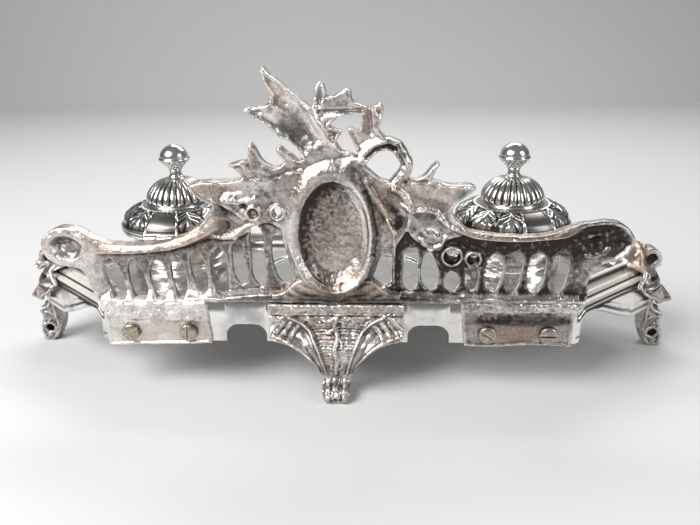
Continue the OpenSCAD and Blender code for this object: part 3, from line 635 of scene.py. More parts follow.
SLOTS = [  # slots through the webs, from the left one on
    [(-106.6, 20.4), (-104.5, 18.4), (-102.7, 13.9), (-101, 8.9), (-99.9, 3), (-101.5, -0.7), (-103.8, -1.5),
     (-107, 3.7), (-108.9, 10.9), (-108.9, 17.6)],
    [(-95.3, 19.8), (-92.5, 16.5), (-90.4, 10), (-89.7, 3.6), (-91.6, -1), (-94, -1.2), (-96.7, 2.8), (-97.9, 9.9),
     (-97.7, 17)],
    [(-84.4, 19.5), (-81.4, 17.4), (-80.1, 12), (-80, 4.6), (-82.3, 0), (-85, 0.8), (-87.1, 5.9), (-87.7, 13.8)],
    [(-75.2, 21.8), (-72.4, 19), (-71.1, 13.1), (-70.8, 6), (-72.4, 0.2), (-74.8, 1.4), (-76.8, 8), (-77.3, 16.8)],
    [(-65.2, 24), (-62.7, 22), (-60.9, 16.1), (-60.4, 9.1), (-61.8, 4), (-64.5, 3.5), (-66.8, 9.1), (-68.1, 17.1),
     (-67.5, 22)],
    [(-54.2, 26.4), (-51.9, 22.6), (-50.7, 15.2), (-50.7, 7.1), (-52, 3.1), (-54.8, 2), (-57.2, 5.1), (-58.3, 13.1),
     (-57.9, 22.6)],
    [(-47.4, 27.4), (-45.4, 29.6), (-43.7, 28), (-42.6, 19), (-41.8, 9.2), (-44.6, 7.6), (-47.2, 11), (-48, 20)],
    [(-38.6, 34), (-36.3, 36.6), (-34, 34.6), (-33.4, 22), (-32.8, 9.4), (-35, 6.8), (-38, 9.4), (-39, 22)],
    [(-28.4, 30.6), (-26.4, 33), (-24.2, 30), (-21, 18.6), (-18.6, 11), (-21.4, 8.2), (-26.4, 10.4), (-28.8, 18)],
    [(21.6, 22.4), (25.6, 22.8), (26, 15), (25.8, 9), (21, 7.4), (17.4, 10.2), (18.6, 15)],
    [(32.2, 24.6), (35, 25.8), (37.5, 24.8), (37.8, 16), (37.4, 7), (34.5, 4.6), (31.8, 6.4), (31.3, 16)],
    [(42.3, 25.6), (40.2, 20.1), (40, 9), (43.8, 4), (47.2, 8.4), (47.5, 14.4), (45, 21.7)],
    [(50.5, 12), (53.4, 14.6), (56.6, 11.4), (56.4, 6.4), (53.7, 4), (50.7, 6)],
    [(61.3, 16.8), (65, 18.6), (65.9, 14), (64.8, 6.2), (62.2, 4.4), (60.2, 8.2), (59.9, 13)],
    [(70.6, 21.4), (73.5, 23.2), (76, 21.6), (76.7, 16.6), (75.3, 7.8), (73, 3.6), (70.2, 5.4), (68.7, 11.3),
     (69.3, 17.4)],
    [(80.6, 23), (83.4, 23.9), (85.6, 21.7), (85.5, 14.6), (83.9, 7), (81.8, 3.6), (79.2, 5.4), (78, 11.3),
     (79, 18.4)],
    [(90.6, 22.8), (93.2, 23.4), (95.7, 21.7), (96, 14.7), (94, 7), (91, 3.4), (88.6, 6.2), (87.8, 11.8),
     (88.7, 18.7)],
    [(100.9, 23.2), (104.1, 23.8), (106.4, 21), (106.4, 13.9), (104.8, 7), (102.3, 3.2), (99.3, 5.6), (98.3, 12.2),
     (99, 19.2)],
]
HOLES = [  # holes through the leafwork
    [(-1.2, 81.8), (3, 85.3), (8, 86.6), (12.2, 87.1), (11.8, 80.6), (7.9, 81.4), (4.5, 79.6)],
    [(5.2, 79.0), (2.2, 73.9), (5.3, 70.4), (8.3, 71.9), (11.2, 70.3), (8.6, 75.4), (6.8, 80.2)],
    [(-23, 75.2), (-20.4, 76), (-18, 74.3), (-14.2, 70.6), (-12.9, 67.8), (-15.4, 67.4), (-18.4, 69.4),
     (-21.6, 71.8)],
    [(15, 65.2), (19, 67), (21.4, 69.8), (25.2, 69.4), (27, 65.7), (24.9, 61.3), (23.2, 58.6), (20.2, 59.9),
     (17, 62)],
    [(40.6, 35.1), (42.4, 36.2), (45.6, 35.1), (47.3, 32.9), (46.7, 31.2), (44.4, 33.4), (41.6, 34)],
    [(50.8, 23.4), (52, 25.6), (54.6, 25.8), (56.3, 23.8), (54.8, 22.2), (52.2, 22)],
    [(61, 22.2), (62.4, 23.6), (64.2, 23.2), (64.6, 21.8), (62.8, 21.2)],
    [(-27.4, 43.2), (-26.4, 45.6), (-24.6, 45.8), (-23.8, 43.6), (-25, 41), (-26.6, 41)],
]
LEAVES = [  # outlines of the leafwork, from the topmost leaf on
    [(-30.6, 106.2), (-29, 107), (-26.6, 104.4), (-21.6, 100.5), (-16, 95.7), (-11.5, 91.9), (-8.6, 89.8), (-2, 90),
     (2, 84), (4.7, 79.4), (1.6, 74.4), (6, 70), (4, 64), (-8.6, 63), (-12.1, 64), (-13.4, 67.6), (-18.4, 72.8),
     (-22.6, 76.6), (-26.2, 80.2), (-31.2, 84.3), (-35.2, 86.2), (-38.3, 89.4), (-32.6, 90.1), (-27.6, 91.6),
     (-26, 94.4), (-27.4, 98.6), (-29, 102.4)],
    [(-8.3, 88), (-7.6, 93.6), (-6.5, 98), (-4.8, 100.6), (-3, 99), (-2.2, 95.4), (-2.6, 88)],
    [(-5, 89.5), (-1.9, 94), (1, 94.6), (4.4, 96.4), (6.6, 97.2), (8.6, 96.3), (8.8, 92.8), (13, 90.4),
     (17, 89.1), (13.6, 86.4), (6, 84.6), (-1, 80), (-5, 82)],
    [(5.6, 81.8), (8, 81.2), (11.6, 79.4), (12.4, 83.4), (12.9, 87.4), (16, 88.8), (18.6, 90.4), (20.8, 91.3),
     (22.2, 89.4), (21.5, 84), (20.2, 80.2), (22.8, 76.6), (20.5, 74.2), (17, 70.4), (13, 67.6), (10.6, 69.6),
     (9.4, 73.6), (7, 77.6)],
    [(-46.2, 65), (-42, 66.2), (-37.8, 67.2), (-37, 70.4), (-36.4, 74.8), (-34.2, 72.6), (-31.5, 67.6), (-28, 64.6),
     (-24, 64), (-21.2, 66.4), (-24.8, 71), (-24.2, 73.2), (-21.4, 72.8), (-17, 69), (-11, 66), (-10, 60),
     (-24, 57), (-40, 56.4), (-41.6, 61)],
    [(-64.8, 56.4), (-57, 57.8), (-47.5, 57.8), (-38, 59.4), (-26, 63), (-13, 66), (3.4, 70.4), (9.6, 69),
     (12.6, 65.4), (16.6, 61.8), (21, 58.6), (26, 56.8), (33, 56), (36, 50), (37, 44), (34.6, 37), (30.2, 31.8),
     (27.6, 26), (27.4, 6), (-16, 6), (-22, 20), (-24, 36), (-31.5, 38.6), (-40, 34), (-45.5, 31), (-51, 30.4),
     (-57, 31), (-58.6, 40), (-54.6, 46.6), (-58.6, 48.8), (-63, 52)],
    [(30, 54), (33, 57.8), (37.4, 58.6), (40.3, 60), (43, 63.4), (45.6, 66), (47, 64.8), (44.6, 61), (43, 58.2),
     (52, 55.6), (59.9, 55.8), (63.6, 54.4), (60, 51.6), (56.2, 48.8), (53.4, 46), (53.2, 42), (57.6, 37),
     (60, 33), (50, 30), (48, 25.8), (43.8, 25.2), (39.6, 28), (36, 31), (31, 40), (27, 50)],
]
SCROLL = [  # middle of the scroll beside the top leaf
    (12.6, 66.4), (15.4, 70.3), (19.4, 73.1), (24.4, 74), (28.3, 72.4), (30.6, 68.9), (32.6, 65.2), (31.6, 61.4),
    (28.6, 57.6), (25.5, 54)]
RIDGES = [  # line, half width, height; a valley has a negative height
    ([(-28.9, 105.6), (-24.7, 102.4), (-17.2, 96), (-9.7, 89.6)], 1.3, 1.1),
    ([(-28.9, 103), (-26.7, 97), (-25.4, 91.6), (-19, 87)], 1.1, 0.7),
    ([(-27.8, 103), (-24, 96.8), (-19.6, 91.6)], 1.1, -0.7),
    ([(-37, 88.4), (-31, 84.8), (-25, 80.4), (-18.6, 74.4), (-13.4, 68.6)], 1.2, 0.9),
    ([(-35.6, 88.8), (-31, 88.2)], 1.2, -0.7),
    ([(-9.8, 89.2), (-6.8, 83.4), (-3.4, 78.8), (1.0, 73.4)], 2.0, 1.7),
    ([(-13, 66.6), (-10.5, 70), (-9.5, 74)], 1.4, 0.7),
    ([(-20.4, 62.4), (-15.1, 63.8), (-7.7, 65), (-1.8, 67.6), (4.1, 69), (9, 69.4)], 1.6, -0.45),
    ([(-5.4, 90.5), (-4.7, 98.6)], 1.0, -1.1),
    ([(-5.5, 88), (4.5, 88.3), (12.6, 88.4)], 0.8, -1.1),
    ([(-3.6, 84.8), (3, 86.4), (12, 88)], 0.8, 0.6),
    ([(-1.2, 78.6), (3.4, 78.6)], 1.5, -0.9),
    ([(15.6, 88), (16.6, 79)], 1.6, -1.1),
    ([(19.4, 89.8), (20.6, 86.6)], 1.0, -1.0),
    ([(12.7, 86.6), (12.4, 79.8)], 0.8, 0.7),
    ([(17.6, 88.4), (18.2, 80.4), (21.8, 76.8)], 0.8, 0.7),
    ([(8, 78.6), (11, 73.6), (15.4, 76)], 1.3, -0.8),
    (SCROLL, 2.1, 1.9),
    ([(14.9, 68.2), (18.6, 71.6), (24.2, 73.4), (27, 72.2)], 1.2, -1.9),
    ([(29.2, 69.2), (31, 65.2)], 0.9, -0.6),
    ([(-45.6, 65), (-40.4, 65.6), (-36.6, 62.4)], 0.9, 0.9),
    ([(-36.2, 74), (-36.6, 68.4), (-35.4, 63.2), (-28.6, 60.8)], 1.0, 0.9),
    ([(-34, 70), (-31.6, 65.4)], 1.1, -0.6),
    ([(-38.5, 59.9), (-31.6, 59.5), (-23.8, 60.4), (-20.6, 62.4)], 1.4, -0.5),
    ([(-24, 72.4), (-19, 68), (-13.4, 65.8)], 1.1, 0.8),
    ([(-64, 56.2), (-50.4, 56), (-40.5, 57.4)], 1.6, 1.1),
    ([(-62, 50.6), (-50.9, 49.4), (-42.8, 47.7), (-35, 49.4)], 1.4, 1.2),
    ([(-60, 53.4), (-50, 52.9), (-42, 53.4)], 1.2, -0.8),
    ([(-54, 49), (-49.7, 46.9), (-44.7, 43.4), (-40.6, 40.4)], 0.9, 1.2),
    ([(-57.6, 33.4), (-53, 31.9), (-49, 31.4), (-45.5, 32.3), (-40.6, 36.4), (-34.6, 38.6)], 1.1, 1.1),
    ([(-58, 44.4), (-57.8, 35)], 0.7, -0.9),
    ([(-31.5, 54), (-28, 50), (-27.6, 47.5)], 1.6, -0.6),
    ([(-28.8, 38.4), (-30.2, 33), (-30.4, 20)], 1.2, -0.5),
    ([(-21.8, 38), (-21.4, 30), (-17, 18)], 1.1, 0.5),
    ([(26.6, 54.4), (30.2, 51.8), (33.2, 46.8), (34, 41.4), (32.8, 35.6)], 1.4, 1.9),
    ([(18, 56), (23, 49.6), (28, 43), (29.4, 37.6)], 2.6, -1.0),
    ([(13.6, 58), (17.8, 51), (22, 44.2), (24.6, 39)], 0.9, 0.9),
    ([(14, 52.6), (17, 44.4), (18.6, 34), (17.6, 24)], 1.3, -2.2),
    ([(24, 39.4), (27, 33.4), (27.2, 24), (27, 9)], 0.8, 1.2),
    ([(31, 57), (37.4, 57.4), (41.8, 57.2)], 0.7, -1.1),
    ([(40.3, 59.6), (45.8, 65.2)], 1.0, 0.6),
    ([(47, 54.9), (61, 54.3)], 0.8, 0.8),
    ([(30.6, 46.6), (35.4, 43.6), (41.3, 44.4), (45.8, 43), (49.2, 38.6), (52.6, 35.6), (58, 33.6)], 1.0, 1.5),
    ([(38.8, 31), (40, 28.2), (44.5, 26.4), (48.3, 28), (50, 32)], 0.8, 1.3),
    ([(34, 52.6), (42, 50.6), (49, 48.4)], 2.6, -0.6),
]
BLOBS = [  # centre, half width, half height, turn in degrees, height
    (-15.4, 80.6, 9.0, 5.4, -42, -2.3), (-23.4, 88.6, 4.6, 3.4, 0, 1.0), (-6.8, 71.6, 2.8, 2.6, 0, 1.1),
    (-11, 76.2, 2.2, 1.8, 0, 0.6), (-1.8, 70.6, 2.2, 1.9, 0, 0.8), (0.4, 93, 2.4, 2.0, 0, 0.8),
    (5.4, 94.2, 2.6, 2.0, 0, 0.7), (-50.8, 43.4, 3.6, 2.2, -20, -1.3), (-49, 37.4, 5.0, 3.6, 10, -1.2),
    (-41, 46.4, 2.0, 1.8, 0, -1.2), (55.6, 51.4, 2.8, 1.8, 30, -1.3), (35.2, 33.2, 1.9, 1.8, 0, 1.2),
    (43.4, 39.4, 6.0, 3.4, 0, 1.3), (28.8, 19.2, 1.1, 1.0, 0, 1.0), (29, 15.2, 1.2, 1.2, 0, 1.0),
    (9, 66.4, 3.2, 2.4, 20, 0.9), (-39, 63, 2.2, 2.0, 0, 0.8)]
RINGS = [  # centre, radius, depth of the bowl inside the ring
    ((53.3, 22.2), 5.2, 1.3), ((62.9, 20.9), 4.2, 1.0), ((-36.4, 43), 3.9, 0.4), ((-25.4, 43.2), 3.9, 0.8)]
PAINTED_SHADE = [  # painted shade and painted dark reflections: centre, half width, half height, turn, how dark
    (-15.4, 80.6, 9.5, 6.2, -42, 0.55), (-26, 52, 9, 10, 30, 0.35), (16.6, 38, 3, 16, 0, 0.65),
    (-50.6, 43.6, 4, 2.6, -20, 0.5), (-48.6, 37.6, 5, 3.4, 0, 0.35), (24, 47, 4.4, 8, -35, 0.4),
    (22.5, 72.0, 7, 2.6, 10, 0.85), (29.5, 68.6, 2.2, 4, 20, 0.6), (-22.4, 59.6, 7, 4, 20, 0.5),
    (55.6, 51, 3.4, 2.4, 30, 0.55), (43.6, 40, 6, 3.4, 0, 0.4), (45, 50, 12, 4, -12, 0.25),
    (2, 92, 6, 3.4, 0, 0.5), (15.8, 82, 2.6, 6, 0, 0.4), (-22, 92, 3, 7, 50, 0.3),
    (53.3, 20.6, 4, 2.6, 0, 0.5), (62.9, 19.4, 3, 2, 0, 0.5), (118, 29, 13, 10, 0, 0.85),
    (104, 22, 14, 12, 0, 0.8), (-124, 25.6, 6.4, 4, -28, 0.6), (-31, 22, 2, 14, 0, 0.3),
    (-78, 21, 30, 6, 2, 0.5), (0, 62, 10, 3, 10, 0.15), (0, 2, 56, 3.4, 0, 0.75), (-30, 2, 50, 2.4, 0, 0.7),
    (88, -8.4, 28, 2.8, 0, 0.75), (84, -14, 30, 6, 0, 0.3), (18.5, 24, 2.4, 20, 0, 0.6)]
WARM = [  # centre, half width, half height, turn, how warm
    (-24, 95, 8, 5, -45, 0.7), (-12, 54, 8, 12, 40, 0.6), (24, 47, 8, 12, -35, 0.8),
    (43, 51, 14, 6, -8, 0.8), (-49, 36, 8, 5, 0, 0.7), (16, 82, 4, 8, 0, 0.8), (1, 77.6, 4, 3, 0, 0.6),
    (-85, 29, 34, 7, 4, 0.75), (90, 34, 30, 3, 0, 0.7), (0, 8, 30, 6, 0, 0.9), (-82, -15, 22, 6, 0, 0.6),
    (84, -14, 18, 5, 0, 0.7), (-52, 54, 12, 4, 0, 0.5), (-0.6, 30, 13, 20, 0, 0.45),
    (-34, 44, 4, 4, 0, 0.5), (-124, 25, 6, 4, -28, 0.8)]
PAINTED_HIGHLIGHTS = [  # painted highlights: centre, half width, half height, turn, how bright
    (-21, 95.6, 12, 3.8, -42, 0.6), (-26, 88.6, 7, 4, -30, 0.45), (-4.8, 95, 1.8, 5, 0, 0.5),
    (4, 91.4, 7, 3, 8, 0.35), (16, 80, 4, 8, 0, 0.45), (-7, 80, 7, 2.4, -57, 0.7), (-38, 55, 8, 4, 0, 0.5),
    (-118, 27, 17, 10, 0, 0.4), (-80, 4, 36, 5, 0, 0.5), (-109, 14, 5, 18, 12, 0.6),
    (44, 51, 12, 6, -10, 0.45), (-22, 30, 4, 26, 0, 0.45), (118, 16, 10, 5, 25, 0.5)]
DRAPE = [  # upper edge of the drape over the foot moulding
    (-30, 4.2), (-25.5, 4.8), (-22.4, 7.0), (-19.6, 9.8), (-16.4, 11.4), (-12.4, 11.4), (-8.6, 8.8), (-4.6, 6.6),
    (0, 5.9), (4.3, 6.7), (8.1, 8.8), (12, 11), (16, 11.2), (19.2, 9.4), (21.6, 6.8), (25, 4.8), (30, 4.2)]
OVAL, OVAL_R = (-0.6, 32.4), (15.6, 25.0)  # the dish: its middle, and its half width and half height
FRAME_W = 5.6  # width of the dish's frame
FLANGE = {1: (58.5, 110.5), -1: (-110.5, -58.5)}  # ends of the plates under the wings
FOOT_L = 110.5  # half length of the foot moulding
LEAF_Y, PLATE_Y = 53.9, 55.9  # rear faces of the leafwork and of the plates
WEB_FRONT, LEAF_FRONT, DISH_FRONT = 49.0, 48.0, 48.2  # their faces towards the wells
FAR = 1e3  # outside everything


def flow(points, n=4, sharp=62):
    """A closed outline bent smoothly through its points, but straight to its sharp ones."""
    p = np.asarray(points, float)
    before, after = np.roll(p, 1, 0), np.roll(p, -1, 0)
    a, b = p - before, after - p
    turn = np.degrees(np.abs(np.arctan2(a[:, 0] * b[:, 1] - a[:, 1] * b[:, 0], (a * b).sum(1))))
    corner = (turn > sharp)[:, None]
    la, lb = np.linalg.norm(a, axis=1)[:, None], np.linalg.norm(b, axis=1)[:, None]
    tangent = (a / la + b / lb) / 2
    leave = np.where(corner, b, tangent * lb)
    arrive = np.roll(np.where(corner, a, tangent * la), -1, 0)
    made = []
    for t in np.arange(n) / n:
        made.append(
            (2 * t**3 - 3 * t**2 + 1) * p + (t**3 - 2 * t**2 + t) * leave
            + (3 * t**2 - 2 * t**3) * after + (t**3 - t**2) * arrive
        )
    return np.stack(made, 1).reshape(-1, 2)


def nearest_of(u, v, outlines, n=4, sharp=62):
    """Signed distance to the nearest of several outlines."""
    nearest = np.full(u.shape, FAR)
    for outline in outlines:
        nearest = np.minimum(nearest, to_outline(u, v, flow(outline, n, sharp)))
    return nearest


def blob(u, v, cu, cv, ru, rv, turn):
    """1 at the centre of a turned ellipse, falling softly to 0 outside it."""
    c, s = math.cos(math.radians(turn)), math.sin(math.radians(turn))
    du, dv = u - cu, v - cv
    return np.exp(-(((du * c + dv * s) / ru) ** 2) - ((dv * c - du * s) / rv) ** 2)


def painted(u, v, spots):
    """The strongest of several soft spots at each place."""
    total = np.zeros(len(u))
    for *spot, amount in spots:
        total = np.maximum(total, amount * np.clip(1.6 * blob(u, v, *spot), 0, 1))
    return total


def softened(values, reach):
    """A grid of values blurred over that many steps."""
    weights = bell(np.arange(-2 * reach, 2 * reach + 1), reach)
    weights /= weights.sum()
    for axis in (0, 1):
        padded = np.pad(values, [(2 * reach,) * 2 if k == axis else (0, 0) for k in (0, 1)], "edge")
        rows = values.shape[axis]
        values = sum(w * np.take(padded, range(k, k + rows), axis) for k, w in enumerate(weights))
    return values


def oval_at(u, v):
    """Distance from the dish's middle as a share of its rim's, and distance outside the rim."""
    oval = np.hypot((u - OVAL[0]) / OVAL_R[0], (v - OVAL[1]) / OVAL_R[1])
    return oval, (oval - 1) * OVAL_R[0]


def volute_face(u, v, web, s, inset):
    """Rear face of the volute on one side, s, which lies inset from its outline."""
    if s < 0:
        eye = to_outline(u, v, flow(EYE))
        lip = 56.6 - 1.6 * smooth(-v, -21, -10) - 0.5 * hump(inset, 2.2)
        lip = lip - smooth(-eye, -1.2, 2.6) * (3.2 + 1.7 * blob(u, v, -127.6, 29.4, 4.6, 3.4, 35))
        return web + 2.4 + (lip - web - 2.4) * smooth(v, 8, 18)
    lip = web + 0.8 + 1.7 * bell(inset - 1.0, 1.3) * smooth(v, 17, 24)
    lip = lip - 1.9 * blob(u, v, 117.5, 29.2, 3.5, 2.3, 18) + 0.3 * ripple(u, v, 2, 1.9, 19, 2)
    arc = to_line(u, v, [(113.4, 22.8), (117.4, 22.6), (121.2, 24.2), (122.6, 26)])[0]
    return lip + 0.9 * hump(arc, 1.3) + 0.5 * blob(u, v, 115.6, 32.2, 4.4, 1.2, 12)


def wing_fields(u, v, web):
    """Outline and rear face of the two wings, each with its rail and its volute."""
    wings, back = np.full(u.shape, FAR), np.full(u.shape, web)
    for s in (1, -1):
        top, low = np.array(RAIL_TOP[s], float), np.array(RAIL_LOW[s], float)
        middle = [(s * 40, 47), (0, 45), (0, 0), (s * 106, 0)]
        wing = np.concatenate([top, middle if s < 0 else middle[::-1]])
        ends = to_outline(u, v, flow(ENDS[s]))
        wings = np.minimum(np.minimum(wings, to_outline(u, v, wing)), ends)
        high, foot = np.interp(u, top[:, 0], top[:, 1]), np.interp(u, low[:, 0], low[:, 1])
        t = (v - foot) / np.maximum(high - foot, 0.5)
        rail = (RAIL_BACK[s] - web) * smooth(t, -0.12, 0.28) * (1 - 0.28 * smooth(t, 0.3, 1.1))
        ours = u * s > 0
        back = np.where(ours, np.maximum(back, web + rail * smooth(np.abs(u), 48, 54)), back)
        lip = volute_face(u, v, web, s, np.minimum(-ends, 12))
        back = back + (lip - back) * (smooth(np.abs(u), 107 if s < 0 else 103, 113) * ours)
    return wings, back


def leaf_relief(u, v):
    """Height of the leafwork's ridges, valleys and lumps."""
    relief = 0.30 * ripple(u, v, 1, 3.4, 8, 3)
    for line, half, height in RIDGES:
        relief = relief + height * bell(to_line(u, v, line)[0], half)
    for *spot, height in BLOBS:
        relief = relief + height * blob(u, v, *spot)
    return relief


def with_rings(u, v, web, shape, back):
    """Outline and rear face with the open rings added."""
    for (cu, cv), radius, depth in RINGS:
        d = np.hypot(u - cu, v - cv)
        shape = np.minimum(shape, d - radius)
        rise = 1.5 * bell(d - radius + 0.9, 0.9) - depth * (1 - smooth(d, radius - 2.6, radius - 1))
        back = np.where(d < radius + 2, np.maximum(back, web + 0.4) + rise, back)
    return shape, back


def with_foot(u, v, shape, back):
    """Outline and rear face with the foot moulding and the drape over it, and the moulding's height."""
    places, heights = [-112, -68, -58, -50, -34, 30, 50, 58, 112], [0.9, 1.0, 1.8, 3.2, 4.2, 4.2, 3.2, 1.8, 1.2]
    band_top = np.interp(u, places, heights)
    shape = np.minimum(shape, np.maximum(np.maximum(v - band_top, -v), np.abs(u) - FOOT_L))
    drape = to_outline(u, v, flow(DRAPE + [(30, 2), (-30, 2)]))
    shape = np.minimum(shape, drape)
    fold = 0.35 * np.cos((v - 4 - 0.02 * u**2) * 1.1) * smooth(-drape, 0.4, 2.5)
    hanging = blend_max(back, PLATE_Y - 1.9 * np.maximum(drape, -0.3) + fold, 0.4)
    back = np.where(drape < 1.2, hanging, back)
    band = 56.2 - 0.5 * smooth(v, 1.6, 3.0) + 0.22 * ripple(u, v, 5, 5, 14, 2)
    slope = 1.5 - 0.75 * smooth(np.abs(u), 54, 60)
    on_band = (v < band_top + 5) & (np.abs(u) < 112)
    back = np.where(on_band, np.maximum(back, band - slope * np.maximum(v - band_top + 0.6, 0)), back)
    return shape, back, band_top


def with_plate(u, v, s, band_top, shape, back):
    """Outline and rear face with the flange plate added on one side, s."""
    a, b = FLANGE[s]
    slant = (0.02 if s > 0 else 0.09) * (v + 21.5) * s
    foot = -21.3 - (0.03 * (-u - 60) if s < 0 else 0.6 * np.sin((u - 58) * 0.13))
    near_top = band_top - 0.2
    shift = 0.10 * (v + 8) if s > 0 else 0.0
    edges = (a + shift - u, u - b - slant + 1.2) if s < 0 else (a - shift - u, u - b - slant + 0.8)
    plate = np.maximum(np.maximum(*edges), np.maximum(foot - v, v - near_top)) + 0.15 * ripple(u, v, 1, 4)
    shape = blend_min(shape, plate, 0.4)
    rim = 0.5 * bell(v - foot - 0.8, 0.9) + 0.3 * hump(-plate - 0.8, 0.9) * (v < -3)
    deep = smooth(-v, 4, 6.4) * smooth(v, -11.5, -8) * (1.0 if s > 0 else 0.35)
    face = PLATE_Y + rim - 0.5 * deep + 0.30 * ripple(u, v, 7, 7, 15, 2) + 0.05 * ripple(u, v, 3, 1.4, 25, 2)
    back = np.where((u > a - 2) & (u < b + 2.5) & (v < near_top + 0.6), face, back)
    low = -5.0 if s > 0 else -9.0 - 0.03 * (u + 110)
    lumps = ripple(u, v, 2, 1.3 if s > 0 else 2.0, 8)
    rough = 56.5 + 0.45 * lumps - 1.2 * np.maximum(v - near_top + 1.5, 0)
    rough = rough - 1.1 * smooth(low - v, -1.6, 1.0)
    return shape, np.where((u > a - 1) & (u < b + 3) & (v < near_top + 1), np.maximum(back, rough), back)


def gallery_fields(u, v, web, h):
    """Outline, rear face, front face and distance to the holes of the gallery and its crest, over u and v."""
    wings, back = wing_fields(u, v, web)
    oval, far = oval_at(u, v)
    leaves = np.minimum(nearest_of(u, v, LEAVES), to_line(u, v, SCROLL)[0] - 2.7)
    leaves = np.minimum(leaves, far - FRAME_W) + 0.2 * ripple(u, v, 9, 3.0, 3, 3)
    relief = leaf_relief(u, v)
    body = LEAF_Y + relief - 2.4 * smooth(leaves, -0.1, 1.4)
    lower = smooth(-v, -30, -12)
    body = body - 1.3 * lower * smooth(far, FRAME_W - 1, FRAME_W + 3) * (leaves < 1)
    back = np.where(leaves < 1.4, blend_max(back, body, 0.8), back)
    ring = 2.7 * bell(far - 2.9, 2.5)
    back = np.where(leaves < 1.4, back + ring * smooth(far, -1.5, 0.5), back)
    shape, back = with_rings(u, v, web, blend_min(wings, leaves, 0.8), back)
    dish = LEAF_Y - 2.8 * smooth(-far, 0.0, 4.4) + 0.5 * (1 - oval**2) + 0.16 * ripple(u, v, 6, 1.0, 9, 1)
    back = np.where(oval < 1.0, np.minimum(back, dish + 1.6 * smooth(far, -1.2, 0)), back)
    front = np.where(leaves < 0.5, LEAF_FRONT - 0.8 * np.clip(relief, -1.2, 1.5), WEB_FRONT)
    front = np.where(oval < 1.0, DISH_FRONT - 3.0 * smooth(-far, 0, 9), front)
    cuts = nearest_of(u, v, SLOTS + HOLES, 5, 100) + 0.12 * ripple(u, v, 3, 2.0, 5, 2)
    lip = bell(cuts - 0.7, 0.6) * (0.35 + 0.35 * ripple(u, v, 8, 5, 23, 1))
    back = back + np.where(leaves < 0, 0.6, 0.25) * lip * (far > FRAME_W - 1)
    back = back + 0.16 * ripple(u, v, 9, 2.4, 24, 2) * (leaves > 0) * (np.abs(u) > 34)
    shape = blend_max(shape, -cuts, 0.5)
    rim = softened((shape < 0).astype(float), max(1, int(1.0 / h)))
    back = back + 0.5 * bell(rim - 0.84, 0.11) * smooth(v, 34, 44)
    shape, back, band_top = with_foot(u, v, shape, back)
    for s in (1, -1):
        shape, back = with_plate(u, v, s, band_top, shape, back)
    return shape, back, np.where(v < -0.3, REAR_Y + 0.05, front), cuts


